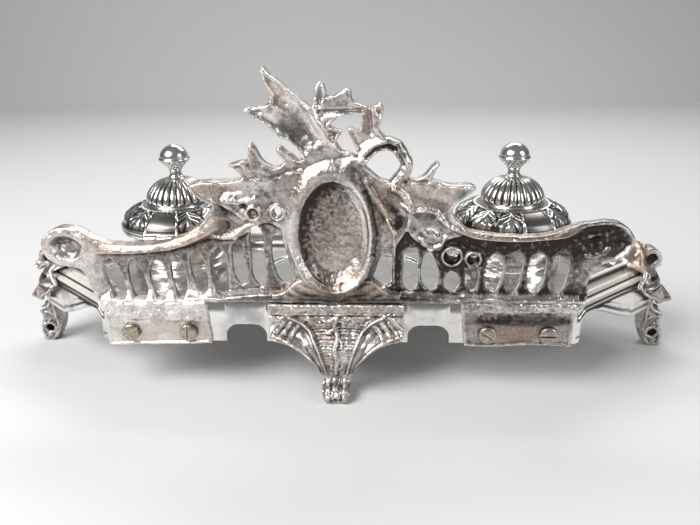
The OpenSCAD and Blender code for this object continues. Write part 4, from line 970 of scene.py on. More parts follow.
class INKSTAND_OT_gallery(bpy.types.Operator):
    """Sculpts the rear gallery with its crest, volutes and flange plates"""

    bl_idname = "inkstand.gallery"
    bl_label = "Rear gallery"

    def execute(self, context):
        cast = context.scene.inkstand_casting
        h = cast.grain
        low = (-137, CREST_LO[1] - 3.8, GALLERY_LO[2] - 1)
        xs, ys, zs = grid(low, (137, GALLERY_HI[1] + 1, CREST_HI[2] + 1), h)
        x, z = np.meshgrid(xs, zs, indexing="ij")
        u, v = -x, z - BEAD_Z
        shape, back, front, cuts = gallery_fields(u, v, cast.web_y, h)
        shape = shape + 0.10 * ripple(u, v, 0, 3.0, 11, 2)
        back = back + 0.16 * ripple(u, v, 4, 4.5, 12, 3) * (v > -1) + 0.05 * ripple(u, v, 4, 6, 13, 2)
        y = ys[None, :, None]
        field = blend_max(shape[:, None, :], y - back[:, None, :], cast.rim_k)
        field = blend_max(field, front[:, None, :] - y, cast.rim_k).astype(np.float32)
        slant = np.gradient(cuts, h, axis=0)

        def seen(corners):
            """Places from behind, u and v, and how far back they lie."""
            return -corners[:, 0], corners[:, 2] - BEAD_Z, corners[:, 1]

        def level(corners, grid_values):
            """Values of the grid place nearest to each corner."""
            i = np.clip(((corners[:, 0] - low[0]) / h).round().astype(int), 0, len(xs) - 1)
            k = np.clip(((corners[:, 2] - low[2]) / h).round().astype(int), 0, len(zs) - 1)
            return grid_values[i, k]

        def slot_wall(corners, side):
            """The left (-1) or right (1) walls of the slots."""
            near = smooth(0.9 - np.abs(level(corners, cuts)), 0, 0.5) * smooth(52.0 - corners[:, 1], 0, 0.6)
            return near * smooth(-side * level(corners, slant), 0.1, 0.7) * (corners[:, 2] < BEAD_Z + 48)

        def hollow(corners, stored):
            """Dark in the creases, and painted shade: dark reflection where the rear face lies deep, more so towards
            the right, a shaded dish, the frame's right side, the slots' left walls and the painted shadows.
            """
            cu, cv, cy = seen(corners)
            oval, far = oval_at(cu, cv)
            # painted shade and dark reflection on the deep webs, growing darker towards the right
            web = smooth(-level(corners, back), -54.4, -52.8) * (cv > 1) * (1 - smooth(cv, 44, 54))
            specks = smooth(ripple(cu, cv, 5, 1.2, 33, 2), 0.05, 0.6)
            web = web * (0.60 + 0.38 * smooth(cu, -20, 50) - 0.32 * specks)
            # painted shade in the dish: darker to the left and upwards, a lighter right rim and a darker left rim,
            # over a mottle
            bowl = 0.26 - 0.022 * (cu - OVAL[0]) + 0.012 * (cv - OVAL[1])
            bowl = bowl + 0.26 * ripple(cu, cv, 0, 1.0, 16, 1)
            right = smooth(cu - OVAL[0], 2, 10)
            bowl = bowl - 0.5 * smooth(far, -3.0, -0.8) * right + 0.4 * smooth(far, -4, -1) * (1 - right)
            # painted shade on the right side of the dish's frame
            side = 0.7 * hump(far - 4.2, 2.4) * right
            deep = np.where(oval < 1, bowl, np.maximum(np.maximum(web, side), painted(cu, cv, PAINTED_SHADE)))
            deep = deep * smooth(cy, 49.5, 51.5)
            # painted shade on the slots' left walls
            return stored["hollow"] * 0.9 + np.maximum(deep, 0.8 * slot_wall(corners, -1))

        def worn(corners, stored):
            """Warm in patches, and where the plate is rubbed."""
            cu, cv, _ = seen(corners)
            return 0.18 + 0.25 * ripple(cu, cv, 0, 12, 21, 2) + painted(cu, cv, WARM)

        def edge(corners, stored):
            """Bright on sharp edges, with painted highlights on the slots' right walls, the dish's right rim, the
            left plate and the listed bright spots.
            """
            cu, cv, cy = seen(corners)
            far = oval_at(cu, cv)[1]
            # painted highlight along the dish's right rim and the frame's inner right edge
            painted_rim_highlight = hump(far + 1.3, 1.0) * smooth(cu - OVAL[0], 5, 11) * smooth(cv - OVAL[1], -14, 4)
            painted_rim_highlight = painted_rim_highlight + 0.7 * hump(far - 1.4, 0.7) * smooth(cu - OVAL[0], 3, 10)
            # painted light in patches on the left plate
            plate = (0.35 + 0.5 * smooth(ripple(cu, cv, 3, 6, 61, 2), -0.2, 0.5)) * (cv < 1.5) * (cu < -56)
            # painted highlights at the listed bright spots, broken into streaks
            streaks = 0.45 + 0.6 * smooth(ripple(cu, cv, 3, 2.6, 62, 3), -0.4, 0.5)
            light = painted(cu, cv, PAINTED_HIGHLIGHTS) * streaks * (cy > 49)
            sharp = stored["edge"] * (1 - 0.5 * hump(cv - 1.0, 2.0))
            for (ru, rv), radius, _ in RINGS[:2]:
                sharp = sharp * (1 - 0.75 * hump(np.hypot(cu - ru, cv - rv) - radius + 0.8, 2.0))
            # painted highlight on the slots' right walls
            return sharp + 0.9 * slot_wall(corners, 1) + painted_rim_highlight * (cy > 50) + plate * (cy > 55) + light

        values = {"hollow": hollow, "worn": worn, "edge": edge}
        piece = add_sculpt("rear_gallery", field, low, h, values=values)
        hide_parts("gallery", "crest")
        return {"FINISHED"}


# ---------- legs, each sculpted against a skirt that faces +Y, then turned into place ----------

LEG_TOP = LEG_HI[2]
LEG_REACH = LEG_HI[1] - REAR_Y
LEG_W = 63.0  # width of a rear or front leg's top band
BAND_Z = 41.2  # height of the top band's lower edge
CLEAR = 0.02  # gap to the floor and to the skirt
STANDS = {"rear": (0, REAR_Y), "front": (180, REAR_Y), "left": (90, END_X), "right": (-90, END_X)}


def profile(*runs):
    """One list of points from points and curves."""
    return np.concatenate([np.atleast_2d(np.asarray(run, float)) for run in runs])


LEG_SIDE = profile(  # reach outside the skirt, height
    [(0, LEG_TOP), (3.5, LEG_TOP), (3.5, 34)],
    curve((3.5, 33), (3.5, 29), (9.5, 30), (9.5, 22), 8),
    curve((9.5, 21), (9, 16), (6.5, 15), (7.5, 9.5), 8),
    curve((8, 8.5), (10, 6), (14, 9.5), (16, 3.5), 8),
    [(15.4, 1), (14, 0), (9, 0)],
    curve((8, 1), (5, 5), (3, 9), (2.5, 13), 6),
    curve((2.4, 15), (3, 18), (2.5, 22), (0, 24), 6),
)
LEG_HALF = profile(  # one half of the outline from behind
    [(LEG_W / 2, LEG_TOP), (LEG_W / 2, 30.5)],
    curve((LEG_W / 2 - 1, 28.5), (LEG_W / 4 + 3.5, 27), (11.2, 23), (7.7, 12), 8),
    curve((7, 10), (6.0, 7), (7.6, 3.4), (4.6, 0), 7),
)
LEG_RIMS = (  # the acanthus leaf's outer and inner rim on each half: distance from the middle, height
    curve((31.2, 31.2), (20, 29), (11, 24), (7.6, 9.5), 12),
    curve((23, 40), (13, 36.5), (8, 29), (4.8, 11), 12),
)
LEG_TWIGS = (  # points, height of the ridge, half width
    ([(-1.0, 41), (0.8, 35), (-0.7, 30), (0.8, 25), (-0.5, 19), (0.4, 12)], 1.5, 1.25),
    ([(-0.6, 40), (-3.2, 40.2), (-6.2, 38.4)], 1.0, 0.9),
    ([(-0.2, 38.6), (-2.8, 36.8), (-3.4, 34.6)], 0.8, 0.8),
    ([(0, 40), (2.2, 37.6), (5.2, 37.0)], 1.0, 0.9),
    ([(0.6, 34.5), (2.8, 31.6), (4.4, 31.6)], 0.8, 0.8),
    ([(-0.6, 30.5), (-2.8, 28), (-2.6, 26)], 0.7, 0.7),
    ([(0.6, 25), (2.4, 22.6)], 0.7, 0.7),
    ([(-2.6, 15), (0, 13.2), (2.8, 14.6), (2.2, 16.6)], 0.8, 0.8),
)
LEG_LOBES = (  # ridges of the leaf at each upper corner
    [(31, 32), (27.6, 35.6), (25.4, 39)],
    [(29, 31.6), (26.6, 33.6), (24.6, 36.6)],
    [(25.6, 30.6), (23.6, 32.6), (21.4, 36)],
    [(21.8, 29.6), (20.2, 31.6), (18, 34.4)],
)


def turned(side):
    """Takes a point drawn against a skirt that faces +Y to the named side of the tray."""
    angle, out = STANDS[side]
    c, s = math.cos(math.radians(angle)), math.sin(math.radians(angle))

    def turn(corners):
        x, y = corners[:, 0], corners[:, 1] + out
        return np.stack([c * x - s * y, s * x + c * y, corners[:, 2]], 1)

    return turn


def patches(corners, seed, least):
    """Warm patches on a casting, from a least warmth."""
    return least + 0.4 * ripple(corners[:, 0], corners[:, 2], seed, 9, 31, 2)


def leg_relief(x, z, seed):
    """Height of a rear or front leg's ornament, seen from behind."""
    ax = np.abs(x)
    outer_rim, inner_rim = LEG_RIMS
    far, near = to_line(ax, z, outer_rim)[0], to_line(ax, z, inner_rim)[0]
    middle = smooth(np.interp(z, inner_rim[::-1, 1], inner_rim[::-1, 0]) - ax, 0.2, 1.4)
    middle = middle * smooth(-z, -40, -39)
    across = 2 * math.pi * far / (far + near + 0.01)
    leafy = (0.5 * np.cos(across) + 0.28 * np.cos(2 * across)) * (1 - middle) * smooth(z, 9, 13)
    leafy = leafy + 0.9 * hump(far, 1.0) + 1.0 * hump(near, 0.9) * smooth(z, 10, 14)
    wave = 0.9 * ripple(x, z, 0, 6, seed + 4, 2)
    ribs = 0.24 * np.cos(z * 4.4 + 0.25 * ax + wave) * smooth(-z, -36, -34) * smooth(z, 16, 19)
    pitted = 0.5 * ripple(x, z, 0, 1.3, seed, 2) * smooth(z, 33, 36)
    twigs = np.zeros(z.shape)
    for points, height, width in LEG_TWIGS:
        twigs = np.maximum(twigs, height * hump(to_line(x, z, points)[0], width))
    for points in LEG_LOBES:
        twigs = np.maximum(twigs, 0.9 * hump(to_line(ax, z, points)[0], 1.1))
    top_band = 0.9 * hump(z - 43.6, 3.4) - 0.6 * hump(z - 40.0, 0.7) + 0.5 * hump(z - 40.9, 0.5)
    top_band = top_band + 0.55 * ripple(x, z, 3, 2.6, seed, 3) * smooth(z, 40, 42)
    toe = smooth(11.5 - z, 0, 3)
    knobs = 1.1 * hump(ax - 4.1, 1.5) + 0.9 * hump(np.hypot(x - 0.6, z - 7.6), 1.8)
    knobs = knobs + 0.7 * hump(np.hypot(x + 0.8, z - 3.6), 1.5) + 0.5 * ripple(x, z, 9, 1.8, seed, 2) - 0.5
    relief = (leafy + (ribs + pitted - 0.35) * middle) * smooth(BAND_Z - z, 0, 0.8) * (1 - toe)
    relief = relief + twigs * smooth(BAND_Z - z, 0, 0.8) + top_band + knobs * toe - 0.35
    return (relief + 0.14 * ripple(x, z, 0, 2.2, seed, 3)) * smooth(z, 0.3, 2.5)


def sculpt_leg(side, seed):
    """A cast leg: beaded top band, acanthus edges, a wavy twig down the middle and a knobbly toe."""
    h = bpy.context.scene.inkstand_casting.grain
    low = (-LEG_W / 2 - 2, -2, -1)
    x, r, z = space(low, (LEG_W / 2 + 2, LEG_REACH + 2, LEG_TOP + 1.5), h)
    face_x, face_z = x[:, 0, :], z[:, 0, :]
    outline = to_outline(face_x, face_z, np.concatenate([LEG_HALF, LEG_HALF[::-1] * [-1, 1]]))
    outline = outline + 0.3 * np.abs(np.sin(face_z * 0.42 + 0.5)) * smooth(34 - face_z, 0, 2) - 0.3
    relief = leg_relief(face_x, face_z, seed)[:, None, :] * smooth(r[0], 0.2, 2.0)[None]
    field = blend_max(to_outline(r[0], z[0], LEG_SIDE)[None] - relief, outline[:, None, :], 0.8)
    field = np.maximum(field, CLEAR - z).astype(np.float32)
    field = np.maximum(field, CLEAR - r)

    def hollow(corners, stored):
        cx, cz = np.abs(corners[:, 0]), corners[:, 2]
        infill = smooth(cz, 18, 24) * smooth(-cz, -38, -33) * smooth(LEG_W / 2 - cx, 1, 5)
        return stored["hollow"] * 0.9 + infill * 0.15 + 0.3 * smooth(-cz, -12, -2)

    values = {"hollow": hollow, "worn": lambda corners, stored: patches(corners, seed, 0.35)}
    piece = add_sculpt(side + "_leg_casting", field, low, h, values=values, turn=turned(side))
    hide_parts(side + "_leg")


END_LEG_SIDE = [  # reach outside the skirt, height
    (0.02, 33.8), (3.5, 33.8), (3.5, 25), (5.4, 23.2), (8.4, 21.6), (9.5, 19), (8.6, 16.8), (9.6, 13.5),
    (10.7, 10.5), (11.8, 6.9), (11.6, 2.5), (10.8, 0), (5.6, 0), (3.3, 1.9), (1, 6.2), (0.15, 10), (0.02, 14)]
END_LEG_HALF = np.array(  # height, half width
    [(0, 4.4), (3, 5.0), (8, 5.6), (13, 6.4), (18, 8.2), (22, 9.0), (34, 10.2)]
).T
PIERCING = (6.1, 8.4)  # middle of the hole through the scroll: reach, height


def sculpt_end_leg(side, seed):
    """A small cast leg: a pierced scroll under a curled leaf."""
    h = bpy.context.scene.inkstand_casting.grain * 0.8
    top = node_box(side + "_leg")[1][2]
    low = (-12, -1.5, -1)
    x, r, z = space(low, (12, 14, top + 1.5), h)
    side_r, side_z = r[0], z[0]
    outer = to_outline(side_r, side_z, END_LEG_SIDE)
    off = np.hypot(side_r - PIERCING[0], side_z - PIERCING[1])
    scroll = 1.0 * hump(off - 3.0, 1.1) + 0.8 * hump(np.hypot(side_r - 6.4, side_z - 13.6), 1.8)
    scroll = scroll + 0.9 * hump(np.hypot(side_r - 7.4, side_z - 3.6), 1.8) + 0.7 * hump(outer + 1.0, 1.0)
    scroll = scroll + 0.6 * hump(to_line(side_r, side_z, [(1, 15), (4, 18.5), (8, 19)])[0], 0.9)
    scroll = scroll - 0.5 + 0.14 * ripple(side_r, side_z, 0, 2, seed, 3)
    lateral = np.abs(x) - np.interp(z, *END_LEG_HALF) - scroll[None] * smooth(np.abs(x), 1, 3)
    ribs = 0.6 * hump(x, 1.6) + 0.4 * np.cos(z * 1.7 + np.abs(x) * 0.8) * smooth(r, 1, 3)
    field = blend_max(outer[None] - ribs * smooth(z, 0.4, 2.5) * smooth(top - 8 - z, 0, 4), lateral, 1.2)
    field = blend_max(field, 2.0 + 0.3 * ripple(side_r, side_z, 5, 2.5, seed, 1)[None] - off[None], 0.8)
    field = np.maximum(np.maximum(field, CLEAR - z), CLEAR - r)
    field = np.maximum(field, z - top).astype(np.float32)

    def hollow(corners, stored):
        ring = smooth(-np.hypot(corners[:, 1] - PIERCING[0], corners[:, 2] - PIERCING[1]), -2.8, -1.8)
        return stored["hollow"] * 0.9 + 0.15 + 0.6 * ring + 0.2 * smooth(-corners[:, 2], -5, 0)

    values = {"hollow": hollow, "worn": lambda corners, stored: patches(corners, seed, 0.2)}
    piece = add_sculpt(side + "_leg_casting", field, low, h, values=values, turn=turned(side))
    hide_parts(side + "_leg")


class INKSTAND_OT_legs(bpy.types.Operator):
    """Sculpts the four cast legs"""

    bl_idname = "inkstand.legs"
    bl_label = "Legs"

    def execute(self, context):
        sculpt_leg("rear", 41)
        sculpt_leg("front", 42)
        sculpt_end_leg("left", 43)
        sculpt_end_leg("right", 44)
        return {"FINISHED"}


# ---------- acanthus leaves over the tray's ends ----------

LEAF_TOP = LEAF_HI[2]
LEAF_FORM = np.array([  # height, reach outside the tray's end, half width
    (24.5, 14.6, 7), (27, 14.4, 12), (30, 12.0, 17), (33, 9.3, 21), (36, 7.2, 23), (38.5, 5.9, 23.5),
    (41, 5.4, 22), (43.5, 4.9, 18), (46, 2.6, 13), (49, -0.4, 10.6), (52, -1.4, 9.6), (55, -2.6, 8.6),
    (58.5, -5.0, 5)]).T
LEAF_EDGE = np.array(  # reach, height of the lower edge
    [(-14, 41.5), (-9, 38.5), (-6, 35.5), (0.7, 30), (4.8, 26.6), (9, 25.6), (15, 25.6)]
).T
LEAF_BROW = [(-8, -8, 53), (-5, -3.4, 55.4), (0, -1.6, 56.0), (5, -3.4, 55.4), (8, -8, 53)]
LEAF_CURL = [(13.5, -13.0, 49.6), (16.0, -8.0, 49.4), (17.6, -5.5, 46.8), (20.0, -7.0, 43.6), (22.6, -9.6, 41.2)]
LEAF_RIDGE = [(0, 7.6, 34.6), (0, 10.2, 32.4), (0, 13.6, 28.2)]
GROOVE_Z = (43.2, 38.9)  # heights of the dark lines round the leaf
LEAF_MID = -6.0  # reach of the bell's axis
ROLL = (0.9, 49.4)  # middle of the roll on top of the leaf: reach, height
FINE_Z = np.linspace(24, 60, 145)


def form_at(z, k):
    """A column of the leaf's form at a height, with its corners rounded."""
    kernel = np.hanning(13)
    padded = np.pad(np.interp(FINE_Z, LEAF_FORM[0], LEAF_FORM[k]), 6, mode="edge")
    return np.interp(z, FINE_Z, np.convolve(padded, kernel / kernel.sum(), "valid"))


def to_point(x, y, z, place):
    """Distance to a point in space."""
    return np.sqrt((x - place[0]) ** 2 + (y - place[1]) ** 2 + (z - place[2]) ** 2)


def to_tube(x, y, z, points):
    """Distance to a line of points in space."""
    nearest = np.full(x.shape, 1e9)
    for a, b in zip(np.array(points[:-1], float), np.array(points[1:], float)):
        d = b - a
        t = np.clip(((x - a[0]) * d[0] + (y - a[1]) * d[1] + (z - a[2]) * d[2]) / (d @ d), 0, 1)
        gap = (x - a[0] - t * d[0]) ** 2 + (y - a[1] - t * d[1]) ** 2 + (z - a[2] - t * d[2]) ** 2
        nearest = np.minimum(nearest, gap)
    return np.sqrt(nearest)


def sculpt_leaf(side, seed):
    """A cast leaf that hangs like a bell over the end of the tray, with a round knob on its roll."""
    h = bpy.context.scene.inkstand_casting.grain
    low = (-26, -15, 23.5)
    x, r, z = space(low, (26, 16.5, LEAF_TOP + 2), h)
    ax = np.abs(x)
    reach, half = form_at(z, 1), form_at(z, 2)
    around = np.arctan2(r - LEAF_MID, ax)
    folds = 0.55 * np.cos(around * 9) * smooth(41 - z, 0, 5)
    folds = folds - 0.5 * hump(z - GROOVE_Z[0], 0.8) - 0.45 * hump(z - GROOVE_Z[1], 0.7)
    folds = folds + 0.5 * hump(z - 41.0, 1.5) + 0.14 * ripple(around * 8, z, 0, 2.2, seed, 3)
    body = np.hypot(ax / half, (r - LEAF_MID) / (reach - LEAF_MID)) - 1
    body = body * (reach - LEAF_MID) * 0.85 - folds * 0.8
    lower = np.interp(r, *LEAF_EDGE) + 1.1 * np.abs(np.sin(around * 4.5)) + 0.05 * ax - z
    body = body - 0.7 * hump(lower + 1.3, 1.3) * (z < 42)
    field = blend_max(body, lower, 1.0)
    tray = np.maximum(np.maximum(r, 0.63 * (ax - 11) + 0.776 * r) - 0.3, z - 43.6 + 0.3 * r)
    field = blend_max(field, -tray, 0.5)
    field = blend_max(blend_max(field, -12.6 - r, 1.5), z - 57.8, 1.5)
    field = np.maximum(field, -np.maximum(body + 2.0, z - 36.5))
    out, up = r - ROLL[0], z - ROLL[1]
    knob = blend_max(np.hypot(out, up) - 5.9, ax - 5.4, 1.8)
    knob = blend_max(knob, 3.7 - to_point(ax, out, up, (7.4, 0.5, 0.6)), 0.6)
    thorn = np.hypot(x, z - 44.6 - 0.12 * (r - 5)) - 1.7 * (1 - (r - 4.5) / 4.6)
    thorn = np.maximum(thorn * 0.8, 4.0 - r)
    bead = to_point(x, r, z, (0, 6.9, 36.2)) - 1.3
    brow, ridge = to_tube(x, r, z, LEAF_BROW) - 1.0, to_tube(x, r, z, LEAF_RIDGE) - 1.0
    curl = to_tube(ax, r, z, LEAF_CURL) - 1.25
    for part, k in ((brow, 0.8), (knob, 0.5), (thorn, 0.7), (curl, 0.6), (bead, 0.4), (ridge, 0.9)):
        field = blend_min(field, part, k)
    if side == "right":
        field = blend_min(field, to_point(ax, r, z, (4.5, 6.6, 45.6)) - 2.5, 0.6)
        field = np.maximum(field, 1.5 - np.hypot(np.sqrt((ax - 6.4) ** 2 + (z - 45.8) ** 2), (r - 8.2) * 0.6))
    field = field.astype(np.float32)

    def hollow(corners, stored):
        cx, cr, cz = np.abs(corners[:, 0]), corners[:, 1], corners[:, 2]
        lines = 0.8 * hump(cz - GROOVE_Z[0], 1.0) + 0.7 * hump(cz - GROOVE_Z[1], 0.9)
        # painted shade on the knob's hollow face
        face = smooth(-np.hypot(cr - ROLL[0] - 0.5, cz - ROLL[1] - 0.6), -3.6, -2.4) * smooth(-cx, -5.6, -4.2)
        return stored["hollow"] * 0.8 + 0.12 + lines * (cr > -2) + 0.7 * face + 0.2 * smooth(-cz, -36, -28)

    def worn(corners, stored):
        inner = smooth(-corners[:, 1], -3, 4) * smooth(corners[:, 2], 47, 50)
        return patches(corners, seed, 0.2) + 0.6 * inner + 0.3 * smooth(-corners[:, 2], -44, -42)

    def edge(corners, stored):
        return stored["edge"] * (0.45 + 0.55 * smooth(corners[:, 2], 43, 46))

    values = {"hollow": hollow, "worn": worn, "edge": edge}
    piece = add_sculpt(side + "_end_acanthus", field, low, h, values=values, turn=turned(side))
    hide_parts(side + "_end_leaf")


class INKSTAND_OT_leaves(bpy.types.Operator):
    """Sculpts the acanthus leaf at each end of the tray"""

    bl_idname = "inkstand.leaves"
    bl_label = "End leaves"

    def execute(self, context):
        sculpt_leaf("left", 51)
        sculpt_leaf("right", 52)
        return {"FINISHED"}


# ---------- tray ----------


def soften(points, radius=0.5):
    """Points of an open profile with each corner rounded and held by a nearby point."""
    points = [np.array(p, float) for p in points]
    made = [points[0]]
    for before, here, after in zip(points, points[1:], points[2:]):
        a, b = before - here, after - here
        la, lb = np.linalg.norm(a), np.linalg.norm(b)
        r = min(radius, la * 0.4, lb * 0.4)
        a, b = a / la, b / lb
        made += [here + a * r * 1.25, here + a * r, here + (a + b) * r * 0.29]
        made += [here + b * r, here + b * r * 1.25]
    return np.array(made + [points[-1]])


def ring_corners(d, edge_l, end_l):
    """Corners of the tray's outline drawn in by d, from the rear right one on."""
    phi = math.atan2(REAR_Y - end_l / 2, END_X - edge_l / 2)
    ax, ay = edge_l / 2 - d * math.tan(phi / 2), REAR_Y - d
    bx, by = END_X - d, end_l / 2 - d * math.tan((math.pi / 2 - phi) / 2)
    return np.array([(ax, ay), (-ax, ay), (-bx, by), (-bx, -by), (-ax, -ay), (ax, -ay), (bx, -by), (bx, by)])


RIDGE_SHAPE = ((0.2, 0.3), (0.6, 1.35), (1.4, 2.0), (2.4, 2.25), (3.4, 2.15), (4.2, 1.6))  # inset, rise
LIP_H = 1.2  # height of the border's lip over the skirt
WALL_ROWS = 11  # rows added up the skirt, for the bands along the arches
NOTCH_IN = LEG_HI[0] + 2  # distance of a notch's inner side from the middle
NOTCH_R = 6.0  # radius of a notch's corners


def tray_stations(t):
    """Places round the tray as (edge, share of it), closer at the corners and the notches."""
    places, ring = [], ring_corners(0, t.edge_l, t.end_l)
    for edge in range(8):
        run = np.linalg.norm(ring[edge] - ring[(edge + 1) % 8])
        marks = {0.5, 1.6, run - 0.5, run - 1.6} | set(np.linspace(4, run - 4, max(3, int(run / 6))))
        if edge % 2:
            marks |= set(np.linspace(1.6, run - 1.6, int(run / 0.5)))
            for e in (-0.02, 0.02, 0.1, 0.25):
                marks |= {t.arch_post + e, run - t.arch_post - e}
            marks = sorted(marks)
            marks = {m for k, m in enumerate(marks) if k == 0 or m - marks[k - 1] > 0.01}
        if edge in (0, 4):
            for s in (-1, 1):
                for e in (-0.6, -0.02, 0, 0.05, 0.2, 0.5, 1, 2, 3, 4.5, 6, 8):
                    marks |= {run / 2 + s * (NOTCH_IN + e), run / 2 + s * (NOTCH_IN + t.notch_w - e)}
        places += [(edge, m / run) for m in sorted(marks)]
    return places


def arch_height(t, s, run):
    """Lower edge of a slanted side's skirt at s from its rear or front corner."""
    top = SKIRT_Z + t.edge_h - t.sheet_t - 0.1 + t.raised * smooth(s, 1, 6)
    foot = run - t.arch_foot
    if s < t.arch_post or s > foot:
        return SKIRT_Z
    level = t.arch_level / 2
    fall = curve((level, top), (level + 9, top - 1.7), (foot - 17.7, SKIRT_Z + 7), (foot, SKIRT_Z), 24)
    corner = max(t.arch_r - (s - t.arch_post), 0)
    return min(np.interp(s, *fall.T), top - t.arch_r + math.sqrt(t.arch_r**2 - corner**2))


class INKSTAND_OT_tray(bpy.types.Operator):
    """Lofts the tray: skirt with notches and arches, two broad ridges, bead, plate and sunk field"""

    bl_idname = "inkstand.tray"
    bl_label = "Tray"

    def execute(self, context):
        t = context.scene.inkstand_tray
        edge_z = SKIRT_Z + t.edge_h
        plate_z = edge_z + t.border_rise
        inner, under = t.border_w + t.bead_w, t.border_w + t.bead_w / 2
        step = t.border_w / 2
        shelf = edge_z - t.sheet_t
        bottom = [(under, plate_z - 2.5), (under, shelf), (t.sheet_t, shelf), (t.sheet_t, SKIRT_Z)]
        side = [(0, SKIRT_Z), (0, edge_z - LIP_H), (0.7, edge_z - 0.9), (0.7, edge_z)]
        ridges = [(k * step + d, edge_z + 1.5 * k + up) for k in range(2) for d, up in RIDGE_SHAPE]
        bead = [(t.border_w, BEAD_Z - 1.2), (t.border_w + 0.5, BEAD_Z - 0.2), (t.border_w + 1.5, BEAD_Z),
                (inner - 0.5, BEAD_Z - 0.2), (inner, BEAD_Z - 1.4), (inner, plate_z), (inner + 3, plate_z)]
        rows = soften(bottom + side + ridges + bead, 0.45)
        at = np.flatnonzero((rows[:, 0] < 0.01) & (rows[:, 1] < SKIRT_Z + 2)).max() + 1
        wall_z = np.linspace(rows[at - 1, 1], rows[at, 1], WALL_ROWS + 2)[1:-1]
        rows = np.insert(rows, at, np.column_stack([np.zeros(WALL_ROWS), wall_z]), 0)
        inset, level, number = rows[:, 0], rows[:, 1], np.arange(len(rows))
        ceiling = np.where(inset > t.sheet_t / 2, shelf, edge_z - LIP_H)
        low_wall = (inset < t.sheet_t + 0.2) & (level < edge_z - LIP_H - 0.01) & (level < ceiling - 0.001)
        outside = (number > at + WALL_ROWS) & (inset < inner + 0.2)
        lifted = (level > edge_z - 2.3) & ((level < plate_z - 2.6) | outside)
        beaded = hump(inset - t.border_w - 1.5, 1.6) * (level > BEAD_Z - 1)
        upper = number > np.flatnonzero(inset < 0.01).max()
        places = tray_stations(t)
        rings = np.array([ring_corners(d, t.edge_l, t.end_l) for d in inset])
        n, m = len(places), len(rows)
        corners, pearls, painted_crease_shade = np.zeros((n, m, 3)), np.zeros((n, m)), np.zeros((n, m))

        def squeezed(height, low, roof):
            """The skirt's rows squeezed between a raised lower edge and its roof."""
            return low + (height - SKIRT_Z) * (roof - low) / (ceiling - SKIRT_Z)

        for k, (edge, part) in enumerate(places):
            a, b = rings[:, edge], rings[:, (edge + 1) % 8]
            corners[k, :, :2] = a + (b - a) * part
            height = level
            if edge == 0:
                seat = BEAD_Z - 0.5 * smooth(0.6 - inset, 0, 0.6) - 0.02 * (BEAD_Z - height)
                height = np.where(upper & (inset < inner - 0.2), seat, height)
            if edge in (0, 4):
                along = abs(part - 0.5) * t.edge_l
                e = min(along - NOTCH_IN, NOTCH_IN + t.notch_w - along)
                if e >= 0:
                    arc = math.sqrt(max(NOTCH_R**2 - max(NOTCH_R - e, 0) ** 2, 0))
                    low = SKIRT_Z + t.notch_h - NOTCH_R + arc
                    height = np.where(low_wall, squeezed(height, low, ceiling), height)
            if edge in (2, 4, 6):
                height = height + t.raised * lifted
            if edge % 2:
                run = np.linalg.norm(rings[0, edge] - rings[0, (edge + 1) % 8])
                s = run * (part if edge in (1, 5) else 1 - part)
                low = arch_height(t, s, run)
                rise = t.raised * (smooth(s, 1, 6) if edge in (1, 7) else 1)
                roof = ceiling + rise
                height = np.where(low_wall, squeezed(height, low, roof), height + rise * lifted)
                out = np.array([b[0, 1] - a[0, 1], a[0, 0] - b[0, 0]]) / np.linalg.norm(b[0] - a[0])
                face = low_wall * (inset < 0.3)
                band = 0.9 * hump(height - low - 1.6, 1.5) + 0.6 * hump(height - low - 5.2, 1.2)
                band = band * face * smooth(roof - height, 0.2, 1.0) * smooth(s, 9, 13)
                corners[k, :, :2] += out * band[:, None]
                # painted shade in the crease between the bands and under the border
                painted_crease_shade[k] = face * (hump(height - low - 3.4, 0.7) + hump(roof - height, 0.8))
                gap = (0.5 - 0.5 * math.cos(2 * math.pi * s / t.pearl)) * smooth(s, 2, 4)
                pearls[k] = beaded * (gap * smooth(run - s, 2, 4))
                height = height - 0.8 * pearls[k]
            corners[k, :, 2] = height
        index = np.arange(n * m).reshape(n, m)
        nxt = np.roll(index, -1, 0)
        faces = [np.stack([index[:, :-1], nxt[:, :-1], nxt[:, 1:], index[:, 1:]], -1).reshape(-1, 4)]
        points = [corners.reshape(-1, 3)]
        base = n * m
        for edge_row, rings_in, up in self.caps(corners, t, plate_z):
            prior = index[:, edge_row]
            for ring in rings_in:
                made = base + np.arange(n)
                points.append(ring)
                quad = np.stack([prior, made, np.roll(made, -1), np.roll(prior, -1)], 1)
                faces.append(quad[:, ::-1] if up else quad)
                base, prior = base + n, made
            faces.append(self.ladder(prior, places, up))
        corners, faces = np.concatenate(points), np.concatenate(faces)
        grooves = sum(hump(inset - k * step, 0.45) for k in (0.05, 1, 2)) * (level > edge_z - 0.2)
        border = (level > edge_z + 0.2) & (inset < inner)
        depth, rim, satin = np.zeros((3, len(corners)))
        slanted = np.array([0.15 if edge == 0 else 1.0 for edge, _ in places])[:, None]
        depth[: n * m] = np.clip(0.95 * grooves * slanted + 0.7 * pearls + 0.8 * painted_crease_shade, 0, 1).ravel()
        rim[: n * m] = (0.6 * beaded * slanted * (1 - pearls)).ravel()
        satin[: n * m] = (border * slanted).ravel()
        depth[np.abs(corners[:, 2] - (plate_z - t.field_d)) < 0.2] = 0.12
        values = {"hollow": depth, "edge": rim, "worn": satin}
        piece = add_piece("tray_sheet", corners, faces, "tray_silver", slot="silver_sheet", values=values)
        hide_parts("tray")
        return {"FINISHED"}

